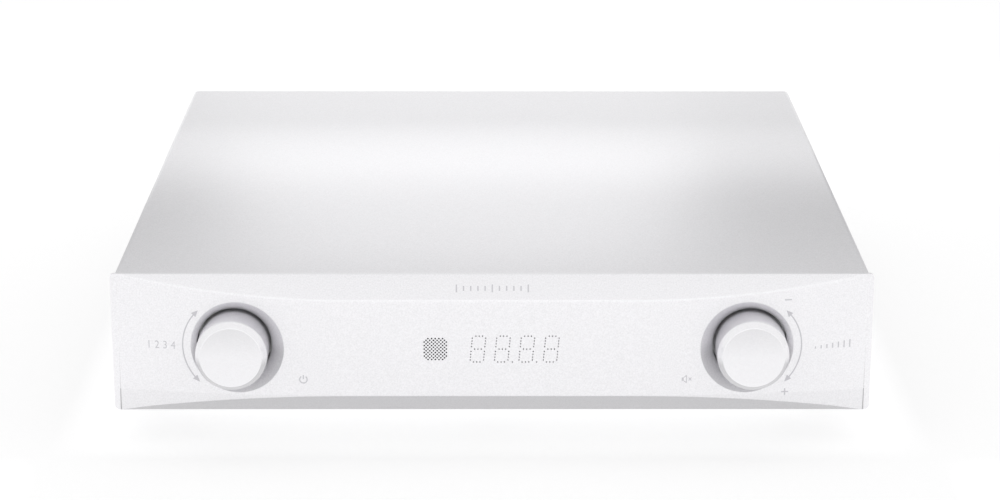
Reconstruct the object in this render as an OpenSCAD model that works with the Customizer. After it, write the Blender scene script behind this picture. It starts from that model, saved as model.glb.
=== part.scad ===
// Half-width integrated stereo amplifier: a bowed aluminium front with two dished push knobs,
// a folded cover over a steel tray, and the sockets, transformer and boards that it holds.
// +X is the right of the front, +Y points to the back and +Z is up. The feet stand on z = 0.

/* [Case] */
// Width of the front panel
panel_w = 235; // [210:1:300]
// Height of the front panel
panel_h = 44.4; // [44:0.2:60]
// Length of the cover
case_len = 239.2; // [225:0.2:320]
// Height of the feet below the front panel
foot_h = 10.6; // [6:0.2:20]
// Thickness of the cover sheet
cover_t = 2; // [1.2:0.1:3]
// Outer radius of the cover's two long edges
cover_r = 1.8; // [1:0.1:3]
// Thickness of the tray sheet
tray_t = 1.5; // [1:0.1:2.5]
// Thickness of the rear panel
rear_t = 2; // [1.2:0.1:3]
// How far the front panel stands proud of the cover all round
proud = 0.7; // [0.3:0.1:2]

/* [Front panel] */
// How far the middle of the face stands ahead of its ends
bulge = 6.6; // [4:0.2:9]
// Half the width of the flat middle of the face
flat_half = 43.5; // [35:0.5:48]
// Where the bow ends, measured in from the panel's end
bow_end = 2.1; // [1:0.1:6]
// Thickness of the lip that covers the front edge of the cover
lip_t = 1; // [0.8:0.1:3]
// Thickness of the step behind the lip
step_t = 4; // [3:0.5:6]
// Radius of the panel's four corners
corner_r = 1.4; // [0.8:0.1:3]
// Wall left in front of the display pocket
skin_t = 1.2; // [0.8:0.1:2]
// Open seam between the lip and the cover
seam = 0.3; // [0.1:0.1:1]

/* [Knobs] */
// Distance from the middle of the panel to each knob's axis
knob_x = 79.6; // [74:0.2:82]
// Diameter of a knob
knob_d = 22; // [18:0.5:25]
// How far a knob stands out from the face around it
knob_out = 10.1; // [8:0.1:14]
// Clearance round a knob in its hole
knob_gap = 0.5; // [0.3:0.1:1]
// Width of the bevel round a knob's face, seen from the front
bevel_w = 1.5; // [0.5:0.1:2.5]
// Length of that bevel along the axis
bevel_l = 2; // [0.5:0.1:3]
// Depth of the dished ring round a knob
dish_depth = 3.4; // [2:0.1:4]
// Widening of the dish for each millimetre of depth
dish_slope = 0.9; // [0.6:0.05:1.2]
// Travel of a knob when it is pushed
push = 0.5; // [0.3:0.1:1]
// Depth of the shallow hollow in a knob's face
face_hollow = 0.45; // [0.2:0.05:0.8]
// Diameter of an encoder's shaft
shaft_d = 6; // [5:0.5:6.5]

/* [Display] */
// Height of the cut digits
digit_h = 8.4; // [7:0.2:10]
// Distance from digit to digit
digit_pitch = 7.5; // [7:0.1:9]
// Lean of the digits
digit_lean = 0.093; // [0:0.01:0.2]
// Diameter of a digit's dots
dot_d = 0.42; // [0.3:0.02:0.6]
// Diameter of the holes in the receiver's window
mesh_d = 0.54; // [0.4:0.02:0.7]
// Distance between holes of one row in that window
mesh_pitch = 1.13; // [1:0.01:1.3]

/* [Speaker terminals] */
// Diameter of a terminal's cap
cap_d = 16; // [13:0.5:17]
// Length of a terminal's cap
cap_len = 19.9; // [16:0.1:24]
// Diameter of the terminal's thread
post_d = 8; // [7.5:0.5:9]
// Bore for a banana plug
banana_d = 4.1; // [4:0.05:4.4]
// Distance between the two terminals of a pair
post_pitch = 19; // [18:0.5:20]
// Travel of a cap along its thread
cap_travel = 5; // [3:0.5:8]

/* [Feet] */
// Diameter of a foot
foot_d = 26; // [20:1:32]
// Distance from the panel's ends to the middle of each foot
foot_in = 29.5; // [24:0.5:45]
// Distance from the front lip to the front feet
foot_front = 46; // [40:1:60]
// Distance from the back of the case to the rear feet
foot_back = 36; // [30:1:60]

/* [Inside] */
// Outer diameter of the mains transformer
torus_d = 90; // [70:1:92]
// Height of the transformer's winding
torus_h = 28; // [20:1:30]
// Height of the spacers under the boards
spacer_h = 4; // [3:0.5:6]
// Thickness of the circuit boards
board_t = 1.6; // [1:0.1:2.4]

/* [Hidden] */
$fn = 48;

// Clearances
fit = 0.15;         // round sheet parts that slide into each other
run = 0.05;         // radial, round turning shafts and screws
cut = 1;            // how far a cutting shape runs past the face it opens

// Fixed sizes of bought parts
panel_bite = 4.5;
bolt_r = 3;
collar_t = 3;
flange_t = 1.5;
washer_t = 1;
screw_r = 1.5;
encoder_w = 12;
encoder_l = 8;
encoder_wall = 0.6;
plunger_r = 2;
push_spare = 0.15;
bush_r = 3.5;
nut_h = 2;
nut_r = 5.8;
thin_washer_t = 0.5;
bracket_t = 1.2;

// The face is flat in the middle and runs out to its ends on an arc
bow_run = panel_w / 2 - bow_end - flat_half;
bow_r = (pow(bow_run, 2) + pow(bulge, 2)) / (2 * bulge);
function arc_drop(x) = bow_r - sqrt(pow(bow_r, 2) - pow(max(x - flat_half, 0), 2));

// Depth, from the knobs' faces to the ends of the terminals, centred on y = 0
face_drop = arc_drop(knob_x);
knob_ahead = knob_out + bulge - face_drop;
terminal_out = collar_t + flange_t + washer_t + cap_len;
overall_d = knob_ahead + lip_t + seam + case_len + terminal_out;
lip_y = -overall_d / 2 + knob_ahead;
case_y = lip_y + lip_t + seam;
rear_y = case_y + case_len;
step_y = lip_y + lip_t + step_t;

// Heights
panel_z = foot_h;
mid_z = panel_z + panel_h / 2;
case_z = panel_z + proud;
case_top = panel_z + panel_h - proud;
floor_z = case_z + tray_t;
roof_z = case_top - cover_t;
board_z = floor_z + spacer_h;
board_top = board_z + board_t;

// Widths
case_w = panel_w - 2 * proud;
inner_w = case_w - 2 * cover_t - 2 * fit;
foot_x = panel_w / 2 - foot_in;

// Places on the front
knob_hole_r = knob_d / 2 + knob_gap;
digit_x = [for (i = [0:3]) -4.4 + i * digit_pitch];
point_digits = [1, 2];
window_x = -17.5;
window_half = 6;
pocket_half = [26.5, 10];
panel_holes = [for (s = [-1, 1]) each [[s * 54, 13], [s * 54, -13], [s * 104, 0]]];

// Places on the back
inlet_x = -case_w / 2 + 22;
switch_x = inlet_x + 27;
post_x = [for (i = [0:3]) switch_x + 24 + i * post_pitch + (i > 1 ? 5 : 0)];
jack_x = [for (i = [0:2]) post_x[3] + 21 + i * 14];
jack_z = [board_top + 6, 2 * mid_z - board_top - 6];
optical_x = jack_x[2] + 14.5;
usb_x = optical_x + 14.5;
inlet_size = [28, 34];
inlet_cut = inlet_size - [1, 2];
switch_size = [15, 21];
optical_size = [13, 13];
usb_size = [12, 11];
usb_z = board_top + usb_size[1] / 2;

// Places inside
side_gap = 6;
torus_x = -inner_w / 2 + torus_d / 2 + side_gap;
torus_y = rear_y - 32 - torus_d / 2;
foot_places = [for (x = [-foot_x, foot_x]) for (y = [lip_y + foot_front, rear_y - foot_back]) [x, y]];
power_pcb = [[-inner_w / 2 + side_gap, step_y + 20], [92, torus_y - torus_d / 2 - step_y - 26]];
amp_pcb = [[2, step_y + 50], [106, rear_y - 66 - step_y - 50]];
input_pcb = [[post_x[3] + 7, rear_y - 50], [inner_w / 2 - 5 - post_x[3] - 7, 46]];
ribbon_x = -11;
ribbon_w = 12;

// ---------------------------------------------------------------- shared shapes

// A flat shape drawn as x, z and standing between y0 and y0 + t
module standing(y0, t) {
    translate([0, y0 + t, 0]) rotate([90, 0, 0]) linear_extrude(t) children();
}

// A round bar along +Y
module bar_y(x, y0, y1, z, r, fn = 48) {
    translate([x, y0, z]) rotate([-90, 0, 0]) cylinder(h = y1 - y0, r = r, $fn = fn);
}

// A cone along +Y, from radius r0 at y0 to r1 at y1
module cone_y(x, y0, y1, z, r0, r1) {
    translate([x, y0, z]) rotate([-90, 0, 0]) cylinder(h = y1 - y0, r1 = r0, r2 = r1);
}

// A turned shape about an axis along +Y; the outline is [radius, distance behind y0]
module turned_y(x, y0, z, outline) {
    translate([x, y0, z]) rotate([-90, 0, 0]) rotate_extrude() polygon(outline);
}

module rounded_rect(w, h, r) {
    square([w - 2 * r, h], center = true);
    square([w, h - 2 * r], center = true);
    for (x = [-1, 1], y = [-1, 1])
        translate([x * (w / 2 - r), y * (h / 2 - r)]) circle(r);
}

module box(x, y, z, size) {
    translate([x, y, z]) cube(size);
}

// A box centred on x and z that stands between y0 and y1
module block_y(x, y0, y1, z, w, h) {
    translate([x - w / 2, y0, z - h / 2]) cube([w, y1 - y0, h]);
}

// A clearance hole for a screw, running up from just below a height
module screw_holes(places, z, depth) {
    for (p = places) translate([p[0], p[1], z - cut]) cylinder(h = depth + 2 * cut, r = screw_r + run);
}

// Hex sockets of the screws, as [radius, depth], and the rim of a countersunk head
cap_key = [1.3, 1.2];
sunk_key = [1.1, 1];
sunk_head_r = 2.8;

// A cap screw pointing up, with the underside of its head at z = 0
module screw_up(length, r = screw_r, head_r = 2.75, head_h = 2) {
    difference() {
        union() {
            translate([0, 0, -head_h]) cylinder(h = head_h, r = head_r);
            cylinder(h = length, r = r);
        }
        translate([0, 0, -head_h - cut]) cylinder(h = cap_key[1] + cut, r = cap_key[0], $fn = 6);
    }
}

// A countersunk screw pointing down into a surface at z = 0
module sunk_screw(length, head_r = sunk_head_r) {
    difference() {
        union() {
            translate([0, 0, -head_r + screw_r]) cylinder(h = head_r - screw_r, r1 = screw_r, r2 = head_r);
            translate([0, 0, -length]) cylinder(h = length, r = screw_r);
        }
        translate([0, 0, -sunk_key[1]]) cylinder(h = sunk_key[1] + cut, r = sunk_key[0], $fn = 6);
    }
}

module sunk_hole(depth, head_r = sunk_head_r) {
    translate([0, 0, -head_r + screw_r])
        cylinder(h = head_r - screw_r + run, r1 = screw_r + run, r2 = head_r + 2 * run);
    translate([0, 0, -depth]) cylinder(h = depth, r = screw_r + run);
}

// ---------------------------------------------------------------- swept wires

function unit(v) = v / norm(v);
function spline_point(a, b, c, d, t) = 0.5 * (2 * b + (c - a) * t
    + (2 * a - 5 * b + 4 * c - d) * pow(t, 2) + (3 * b - a - 3 * c + d) * pow(t, 3));
function smooth(p, steps) = let (n = len(p) - 1) concat(
    [for (i = [0:n - 1], k = [0:steps - 1])
        spline_point(p[max(i - 1, 0)], p[i], p[i + 1], p[min(i + 2, n)], k / steps)],
    [p[n]]);
wire_lean = [0.61, 0.37, 0.7];
function ring(p, i, r, sides) = let (
    along = unit(p[min(i + 1, len(p) - 1)] - p[max(i - 1, 0)]),
    u = unit(cross(wire_lean, along)),
    v = cross(along, u))
    [for (k = [0:sides - 1]) p[i] + r * (cos(360 * k / sides) * u + sin(360 * k / sides) * v)];

module wire(route, r, sides = 8, steps = 3) {
    p = smooth(route, steps);
    n = len(p);
    points = [for (i = [0:n - 1]) each ring(p, i, r, sides)];
    sides_faces = [for (i = [0:n - 2], k = [0:sides - 1]) each let (
        a = i * sides + k, b = i * sides + (k + 1) % sides)
        [[a, a + sides, b], [b, a + sides, b + sides]]];
    polyhedron(points, concat(
        [[for (k = [0:sides - 1]) k]], sides_faces,
        [[for (k = [sides - 1:-1:0]) (n - 1) * sides + k]]));
}

// ---------------------------------------------------------------- casing

// Plan of the bowed front, from its face to the back of the lip
module bow_plan() {
    translate([-flat_half, -bulge]) square([2 * flat_half, bulge + lip_t]);
    for (s = [0, 1]) mirror([s, 0]) intersection() {
        translate([flat_half, bow_r - bulge]) circle(bow_r, $fn = 256);
        translate([flat_half, -bulge]) square([panel_w / 2 - flat_half, bulge + lip_t]);
    }
}

// The two 45 degree facets leave the lip at the panel's top and bottom edges
module facet_side() {
    ahead = bulge + cut;
    polygon([[lip_t, 0], [lip_t, panel_h], [0, panel_h], [-ahead, panel_h - ahead],
        [-ahead, ahead], [0, 0]]);
}

module digit_dots(x) {
    column = digit_h / 2 - 0.66;
    dots = concat(
        [for (row = [-1:1], k = [-1:1]) [k * 1.02, row * digit_h / 2]],
        [for (side = [-1, 1], half = [-1, 1], k = [0:3])
            [side * 2.06, half * (0.78 + k * (column - 0.78) / 3)]]);
    for (d = dots) translate([x + d[0] + d[1] * digit_lean, mid_z + d[1]]) circle(dot_d / 2, $fn = 16);
}

module window_mesh() {
    for (row = [-window_half:window_half]) {
        odd = abs(row) % 2;
        reach = (abs(row) == window_half) ? 2 : (odd == 1 ? 2.5 : 3);
        for (k = [-reach:1:reach])
            translate([window_x + k * mesh_pitch, mid_z + row * mesh_pitch / 2]) circle(mesh_d / 2, $fn = 16);
    }
}

module front_panel() color([0.89, 0.88, 0.92]) difference() {
    union() {
        intersection() {
            translate([0, lip_y, panel_z - cut]) linear_extrude(panel_h + 2 * cut) bow_plan();
            translate([-panel_w / 2, lip_y, panel_z]) rotate([90, 0, 90])
                linear_extrude(panel_w) facet_side();
            translate([0, 0, mid_z]) standing(lip_y - bulge - cut, bulge + lip_t + 2 * cut)
                rounded_rect(panel_w, panel_h, corner_r);
        }
        box(-inner_w / 2, lip_y + lip_t, floor_z + fit, [inner_w, step_t, roof_z - floor_z - 2 * fit]);
    }
    for (s = [-1, 1]) {
        hole_y = lip_y - bulge + face_drop + dish_depth;
        reach = dish_depth + 3;
        bar_y(s * knob_x, hole_y - cut, step_y + cut, mid_z, knob_hole_r);
        cone_y(s * knob_x, hole_y - reach, hole_y, mid_z, knob_hole_r + dish_slope * reach, knob_hole_r);
    }
    block_y(0, lip_y - bulge + skin_t, step_y + cut, mid_z, 2 * pocket_half[0], 2 * pocket_half[1]);
    standing(lip_y - bulge - cut, skin_t + 2 * cut) {
        for (x = digit_x) digit_dots(x);
        for (i = point_digits)
            translate([digit_x[i] + 3.05, mid_z - digit_h / 2]) circle(dot_d / 2, $fn = 16);
        window_mesh();
    }
    for (p = panel_holes) bar_y(p[0], step_y - panel_bite, step_y + cut, mid_z + p[1], screw_r + run);
}

module cover_outline() {
    difference() {
        union() {
            translate([-case_w / 2, case_z]) square([case_w, case_top - case_z - cover_r]);
            translate([-case_w / 2 + cover_r, case_z]) square([case_w - 2 * cover_r, case_top - case_z]);
            for (s = [-1, 1]) translate([s * (case_w / 2 - cover_r), case_top - cover_r]) circle(cover_r);
        }
        translate([-case_w / 2 + cover_t, case_z - cut])
            square([case_w - 2 * cover_t, roof_z - case_z + cut]);
    }
}

cover_screw_z = case_z + 6;
cover_screw_y = [case_y + 30, (case_y + rear_y) / 2, rear_y - 22];
side_flange_h = 12;

module at_cover_screws() {
    for (s = [-1, 1], y = cover_screw_y)
        translate([s * case_w / 2, y, cover_screw_z]) rotate([0, s * 90, 0]) children();
}

module top_cover() color([0.86, 0.85, 0.89]) difference() {
    standing(case_y, case_len) cover_outline();
    at_cover_screws() sunk_hole(cover_t + cut);
}

module base_tray() color([0.7, 0.7, 0.73]) difference() {
    union() {
        box(-inner_w / 2, case_y, case_z, [inner_w, case_len, tray_t]);
        for (s = [-1, 1]) translate([s * (inner_w / 2 - tray_t / 2) - tray_t / 2, step_y + 12, case_z])
            cube([tray_t, case_len - step_t - 30, side_flange_h]);
    }
    at_cover_screws() sunk_hole(cover_t + tray_t + 2 * cut);
    screw_holes(foot_places, case_z, tray_t);
    screw_holes(floor_holes, case_z, tray_t);
    translate([torus_x, torus_y, case_z - cut]) cylinder(h = tray_t + 2 * cut, r = bolt_r + run);
}

// Screws that come up through the tray into the front bracket and the rear panel
tab = [14, 9, 1.2];
bracket_flange_l = 11;
bracket_screws = [for (x = [-96, 0, 96]) [x, step_y + bracket_t + 6]];
tab_screws = [for (x = [inlet_x - 5.2, post_x[3] - 18.2, usb_x - 4.2]) [x, rear_y - rear_t - tab[1] / 2]];
floor_holes = concat(bracket_screws, tab_screws);

module rear_panel() color([0.85, 0.84, 0.88]) difference() {
    union() {
        box(-inner_w / 2, rear_y - rear_t, floor_z, [inner_w, rear_t, roof_z - floor_z - fit]);
        for (p = tab_screws) box(p[0] - tab[0] / 2, rear_y - rear_t - tab[1], floor_z, tab);
    }
    back = rear_y - rear_t - cut;
    block_y(inlet_x, back, rear_y + cut, mid_z, inlet_cut[0], inlet_cut[1]);
    block_y(switch_x, back, rear_y + cut, mid_z, switch_size[0] - 1.6, switch_size[1] - 1.6);
    for (x = post_x) bar_y(x, back, rear_y + cut, mid_z, post_hole_r);
    for (x = jack_x, z = jack_z) bar_y(x, back, rear_y + cut, z, jack_hole_r);
    for (z = jack_z) block_y(optical_x, back, rear_y + cut, z, optical_size[0] - 1.6, optical_size[1] - 1.6);
    block_y(usb_x, back, rear_y + cut, usb_z, usb_size[0] + 2 * fit, usb_size[1] + 2 * fit);
    screw_holes(tab_screws, floor_z, tab[2]);
}

module front_bracket() color([0.62, 0.62, 0.64]) difference() {
    union() {
        box(-inner_w / 2 + 3, step_y, floor_z, [inner_w - 6, bracket_t, roof_z - floor_z - 3]);
        box(-inner_w / 2 + 3, step_y, floor_z, [inner_w - 6, bracket_flange_l + bracket_t, bracket_t]);
    }
    for (s = [-1, 1]) bar_y(s * knob_x, step_y - cut, step_y + bracket_t + cut, mid_z, bush_r + run);
    block_y(0, step_y - cut, step_y + bracket_t + cut, mid_z, 2 * pocket_half[0], 2 * pocket_half[1] + 2);
    for (p = panel_holes) bar_y(p[0], step_y - cut, step_y + bracket_t + cut, mid_z + p[1], screw_r + run);
    screw_holes(bracket_screws, floor_z, bracket_t);
    block_y(ribbon_x, step_y + bracket_t + 1, step_y + 16, floor_z, ribbon_w + 2, 6);
}

// ---------------------------------------------------------------- feet and screws

pad_t = 2.4;
pad_sunk = 1.2;
pad_in = 5;
foot_wall = 2.5;
foot_seat = foot_h - 3.6;

module at_feet() {
    for (p = foot_places) translate([p[0], p[1], 0]) children();
}

module feet() color([0.8, 0.8, 0.83]) at_feet() rotate_extrude() {
    low = pad_t - pad_sunk;
    rim = foot_d / 2;
    polygon([[screw_r + run, foot_seat], [pad_in - 0.5, foot_seat], [pad_in - 0.5, pad_t],
        [rim - foot_wall, pad_t], [rim - foot_wall, low], [rim - 1, low], [rim, low + 1],
        [rim, case_z - 0.6], [rim - 0.6, case_z], [screw_r + run, case_z]]);
}

module foot_pads() color([0.12, 0.12, 0.12]) at_feet() difference() {
    cylinder(h = pad_t, r = foot_d / 2 - foot_wall - 0.1);
    translate([0, 0, -cut]) cylinder(h = pad_t + 2 * cut, r = pad_in);
}

module foot_screws() color([0.3, 0.3, 0.32]) at_feet()
    translate([0, 0, foot_seat]) screw_up(case_z - foot_seat + tray_t + 1.5, head_h = 3);

module cover_screws() color([0.75, 0.75, 0.78]) at_cover_screws() sunk_screw(cover_t + tray_t + 1);

module panel_screws() color([0.75, 0.73, 0.65])
    for (p = panel_holes) translate([p[0], step_y + bracket_t, mid_z + p[1]])
        rotate([90, 0, 0]) screw_up(panel_bite);

module floor_screws() color([0.3, 0.3, 0.32])
    for (p = floor_holes) translate([p[0], p[1], case_z]) screw_up(tray_t + bracket_t + 1);

// ---------------------------------------------------------------- knobs and encoders

knob_face_y = lip_y - knob_ahead;
bush_end = step_y - 6.6;
boss_end = bush_end - push - 0.3;
shaft_tip = knob_face_y + 4;
shaft_foot = step_y + bracket_t + 5;
skirt_end = lip_y + 1.5;
knob_wall = 2;
knob_web = 4.5;
shaft_slot = [0.8, 6];
encoder_pin = [0.8, 2.5, 0.4];
encoder_pin_pitch = 2.5;
encoder_pin_drop = 4.5;

module knob(x) color([0.9, 0.89, 0.93]) difference() {
    rim = knob_d / 2;
    bore = shaft_d / 2;
    skirt = skirt_end - knob_face_y;
    boss = boss_end - knob_face_y;
    face_r = rim - bevel_w;
    hollow_r = (pow(face_r, 2) + pow(face_hollow, 2)) / (2 * face_hollow);
    turned_y(x, knob_face_y, mid_z, [
        [0, 0], [face_r, 0], [rim, bevel_l], [rim, skirt], [rim - knob_wall, skirt],
        [rim - knob_wall, knob_web], [bore + knob_wall, knob_web], [bore + knob_wall, boss],
        [bore, boss], [bore, shaft_tip - knob_face_y], [0, shaft_tip - knob_face_y]]);
    translate([x, knob_face_y + face_hollow - hollow_r, mid_z]) sphere(hollow_r);
}

module encoder_shaft(x) color([0.78, 0.78, 0.8]) difference() {
    bar_y(x, shaft_tip, shaft_foot, mid_z, shaft_d / 2);
    block_y(x, shaft_tip - cut, shaft_tip + shaft_slot[1], mid_z, shaft_slot[0], 2 * shaft_d);
}

module encoder(x) color([0.25, 0.27, 0.25]) difference() {
    body_y = step_y + bracket_t;
    back_y = body_y + encoder_l;
    union() {
        block_y(x, body_y, back_y, mid_z, encoder_w, encoder_w);
        bar_y(x, bush_end, body_y + cut, mid_z, bush_r);
        for (k = [-1:1]) block_y(x + k * encoder_pin_pitch, back_y - cut, back_y + encoder_pin[1],
            mid_z - encoder_pin_drop, encoder_pin[0], encoder_pin[2]);
    }
    bar_y(x, bush_end - cut, shaft_foot + push + push_spare, mid_z, shaft_d / 2 + run);
    bar_y(x, shaft_foot, back_y - encoder_wall, mid_z, plunger_r + run);
}

module plunger(x) color([0.9, 0.9, 0.85]) {
    end_y = step_y + bracket_t + encoder_l - encoder_wall - push - push_spare;
    bar_y(x, shaft_foot, end_y, mid_z, plunger_r);
}

module encoder_nuts() color([0.8, 0.8, 0.82]) for (s = [-1, 1]) {
    seat_y = step_y - thin_washer_t;
    difference() {
        bar_y(s * knob_x, seat_y, step_y, mid_z, nut_r - 0.3);
        bar_y(s * knob_x, seat_y - cut, step_y + cut, mid_z, bush_r + run);
    }
    difference() {
        bar_y(s * knob_x, seat_y - nut_h, seat_y, mid_z, nut_r, 6);
        bar_y(s * knob_x, seat_y - nut_h - cut, step_y, mid_z, bush_r + run);
    }
}

// ---------------------------------------------------------------- display

display_y = step_y + bracket_t + 2;
display_back = display_y + board_t;
display_size = [64, 27];
display_post_r = 2.4;
display_post_in = [3, 2.5];
ribbon_drop = 7;
ribbon_slot_h = 1.2;
header_h = 5;
header_l = 6;
pocket_in = 2;
chip_size = [12, 1.2, 10];
chip_up = 4;
crystal_size = [5, 2, 4];
crystal_at = [20, -2];

module display_board() color([0.1, 0.35, 0.18]) difference() {
    union() {
        block_y(0, display_y, display_back, mid_z, display_size[0], display_size[1]);
        block_y(0, display_back, display_back + chip_size[1], mid_z + chip_up, chip_size[0], chip_size[2]);
        block_y(crystal_at[0], display_back, display_back + crystal_size[1], mid_z + crystal_at[1],
            crystal_size[0], crystal_size[2]);
        block_y(ribbon_x, display_back, display_back + header_l, mid_z - ribbon_drop, ribbon_w + 3, header_h);
        for (s = [-1, 1], h = [-1, 1])
            bar_y(s * (display_size[0] / 2 - display_post_in[0]), step_y + bracket_t, display_y,
                mid_z + h * (display_size[1] / 2 - display_post_in[1]), display_post_r);
    }
    block_y(ribbon_x, display_back + pocket_in, display_back + header_l + 1, mid_z - ribbon_drop,
        ribbon_w + 0.4, ribbon_slot_h);
}

skin_back = lip_y - bulge + skin_t;
digit_case_h = 13;
digit_well = [5.6, 0.8, digit_h + 1.2];

module digit_display() color([0.15, 0.15, 0.17]) {
    front = skin_back + 0.3;
    difference() {
        block_y(digit_x[0] + 1.5 * digit_pitch, front, display_y, mid_z, 4 * digit_pitch + 1, digit_case_h);
        for (x = digit_x) block_y(x, front - cut, front + digit_well[1], mid_z, digit_well[0], digit_well[2]);
    }
}

receiver_size = [7, 7.4];
receiver_dome_r = 3;

module infrared_receiver() color([0.2, 0.12, 0.2]) {
    front = skin_back + 0.6;
    block_y(window_x, front + receiver_dome_r, display_y, mid_z, receiver_size[0], receiver_size[1]);
    bar_y(window_x, front, front + receiver_dome_r + cut, mid_z, receiver_dome_r);
}

// ---------------------------------------------------------------- mains side of the back

inlet_lip = 2;
inlet_d = 19;
blade_end = rear_y - 25;
cavity = [24.4, 16.6];
cavity_d = 15;
cavity_z = mid_z + 5.5;
drawer_size = [21, 6.4];
drawer_z = mid_z - 10.5;
drawer_in = 15;
drawer_floor = 0.7;
fuse_l = 20;
fuse_r = 2.5;
blades = [[-7, 0], [0, -4], [7, 0]];
blade_size = [2, 4];
blade_back = 3.5;
corner_cut = 6;
through = 60;
drawer_wall = 2;
drawer_front = 2.5;
drawer_lip = [8, 0.8, 1.4];
fuse_back = 7;

module mains_inlet() color([0.09, 0.09, 0.1]) difference() {
    union() {
        standing(rear_y, inlet_lip) translate([inlet_x, mid_z])
            rounded_rect(inlet_size[0] + 2, inlet_size[1], 1.5);
        block_y(inlet_x, rear_y - inlet_d, rear_y + cut / 2, mid_z,
            inlet_cut[0] - 2 * fit, inlet_cut[1] - 2 * fit);
    }
    mouth = rear_y + inlet_lip + cut;
    difference() {
        block_y(inlet_x, rear_y + inlet_lip - cavity_d, mouth, cavity_z, cavity[0], cavity[1]);
        for (s = [-1, 1]) translate([inlet_x + s * cavity[0] / 2, rear_y, cavity_z + cavity[1] / 2])
            rotate([0, 45, 0]) cube([corner_cut, through, corner_cut], center = true);
    }
    for (b = blades)
        block_y(inlet_x + b[0], rear_y - inlet_d - cut, rear_y, cavity_z + b[1],
            blade_size[0] + 2 * fit, blade_size[1] + 2 * fit);
    block_y(inlet_x, rear_y + inlet_lip - drawer_in - drawer_wall, mouth, drawer_z,
        drawer_size[0] + 2 * fit, drawer_size[1] + 2 * fit);
}

module inlet_blades() color([0.8, 0.8, 0.82]) for (b = blades)
    block_y(inlet_x + b[0], blade_end, rear_y - blade_back, cavity_z + b[1], blade_size[0], blade_size[1]);

module fuse_drawer() color([0.13, 0.13, 0.14]) difference() {
    front = rear_y + inlet_lip;
    union() {
        block_y(inlet_x, front - drawer_in, front, drawer_z, drawer_size[0], drawer_size[1]);
        block_y(inlet_x, front, front + drawer_lip[1], drawer_z + drawer_size[1] / 2 - 1,
            drawer_lip[0], drawer_lip[2]);
    }
    block_y(inlet_x, front - drawer_in + drawer_wall, front - drawer_front, drawer_z + drawer_floor,
        fuse_l + 2 * fit, drawer_size[1]);
}

module mains_fuse() color([0.8, 0.82, 0.84]) {
    z = drawer_z - drawer_size[1] / 2 + drawer_floor + fuse_r;
    translate([inlet_x - fuse_l / 2, rear_y + inlet_lip - drawer_in + fuse_back, z])
        rotate([0, 90, 0]) cylinder(h = fuse_l, r = fuse_r);
}

rocker_w = switch_size[0] - 4.6;
rocker_r = switch_size[1] / 2 - 2.1;
rocker_y = rear_y - 1.6;
rocker_tilt = 9;
rocker_pin = [1, 0.9];
switch_lip = 1.6;
switch_well = 11;
switch_d = 14;
switch_wall = 0.9;

module switch_frame() color([0.09, 0.09, 0.1]) difference() {
    union() {
        standing(rear_y, switch_lip) translate([switch_x, mid_z])
            rounded_rect(switch_size[0], switch_size[1], 1);
        block_y(switch_x, rear_y - switch_d, rear_y + cut / 2, mid_z,
            switch_size[0] - 2 * switch_wall, switch_size[1] - 2 * switch_wall);
    }
    block_y(switch_x, rear_y - switch_well, rear_y + 4, mid_z, rocker_w + 4 * fit, 2 * rocker_r + 0.7);
    rocker_axle(rocker_pin[0] + run, rocker_pin[1] + fit);
}

module rocker_axle(r, out) {
    half = rocker_w / 2 + out;
    translate([switch_x - half, rocker_y, mid_z]) rotate([0, 90, 0]) cylinder(h = 2 * half, r = r);
}

// The paddle's two ends are arcs about its pivot, so its gap stays the same as it tips
module power_rocker() color([0.16, 0.16, 0.17]) {
    translate([switch_x - rocker_w / 2, rocker_y, mid_z]) rotate([rocker_tilt, 0, 0]) rotate([90, 0, 90])
        linear_extrude(rocker_w) intersection() {
            circle(rocker_r);
            polygon([[-5, -4], [4.6, -rocker_r - 1], [3.2, 0], [4.6, rocker_r + 1], [-5, 4]]);
        }
    rocker_axle(rocker_pin[0], rocker_pin[1]);
}

// ---------------------------------------------------------------- speaker terminals

flange_y = rear_y + collar_t;
thread_y = flange_y + flange_t;
post_end = thread_y + washer_t + cap_len - 3.5;
post_tail = rear_y - rear_t - 12;
banana_l = 16;
stem_r = 3;
post_hole_r = 4.5;
back_washer_t = 1.5;
back_nut_h = 3;

module speaker_posts() color([0.83, 0.66, 0.3]) for (x = post_x) difference() {
    union() {
        bar_y(x, post_tail, flange_y + cut / 2, mid_z, stem_r);
        bar_y(x, flange_y, thread_y, mid_z, 7);
        bar_y(x, thread_y - cut / 2, post_end, mid_z, post_d / 2);
    }
    bar_y(x, post_end - banana_l, post_end + cut, mid_z, banana_d / 2);
    translate([x, thread_y + washer_t + 2.2, mid_z - post_d]) cylinder(h = 2 * post_d, r = 1.2);
}

module post_collars() color([0.1, 0.1, 0.11]) for (x = post_x) difference() {
    union() {
        bar_y(x, rear_y, flange_y, mid_z, 8.6);
        bar_y(x, rear_y - rear_t, rear_y + cut, mid_z, post_hole_r - run);
    }
    bar_y(x, rear_y - rear_t - cut, flange_y + cut, mid_z, stem_r + run);
}

module post_nuts() color([0.75, 0.68, 0.45]) for (x = post_x) {
    back = rear_y - rear_t;
    seat_y = back - back_washer_t;
    difference() {
        bar_y(x, seat_y, back, mid_z, 7);
        bar_y(x, seat_y - cut, back + cut, mid_z, stem_r + run);
    }
    difference() {
        bar_y(x, seat_y - back_nut_h, seat_y, mid_z, nut_r, 6);
        bar_y(x, seat_y - back_nut_h - cut, back, mid_z, stem_r + run);
    }
}

module post_washer(i) color([0.85, 0.7, 0.35]) difference() {
    bar_y(post_x[i], thread_y, thread_y + washer_t, mid_z, 6.4);
    bar_y(post_x[i], thread_y - cut, thread_y + washer_t + cut, mid_z, post_d / 2 + run);
}

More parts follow.
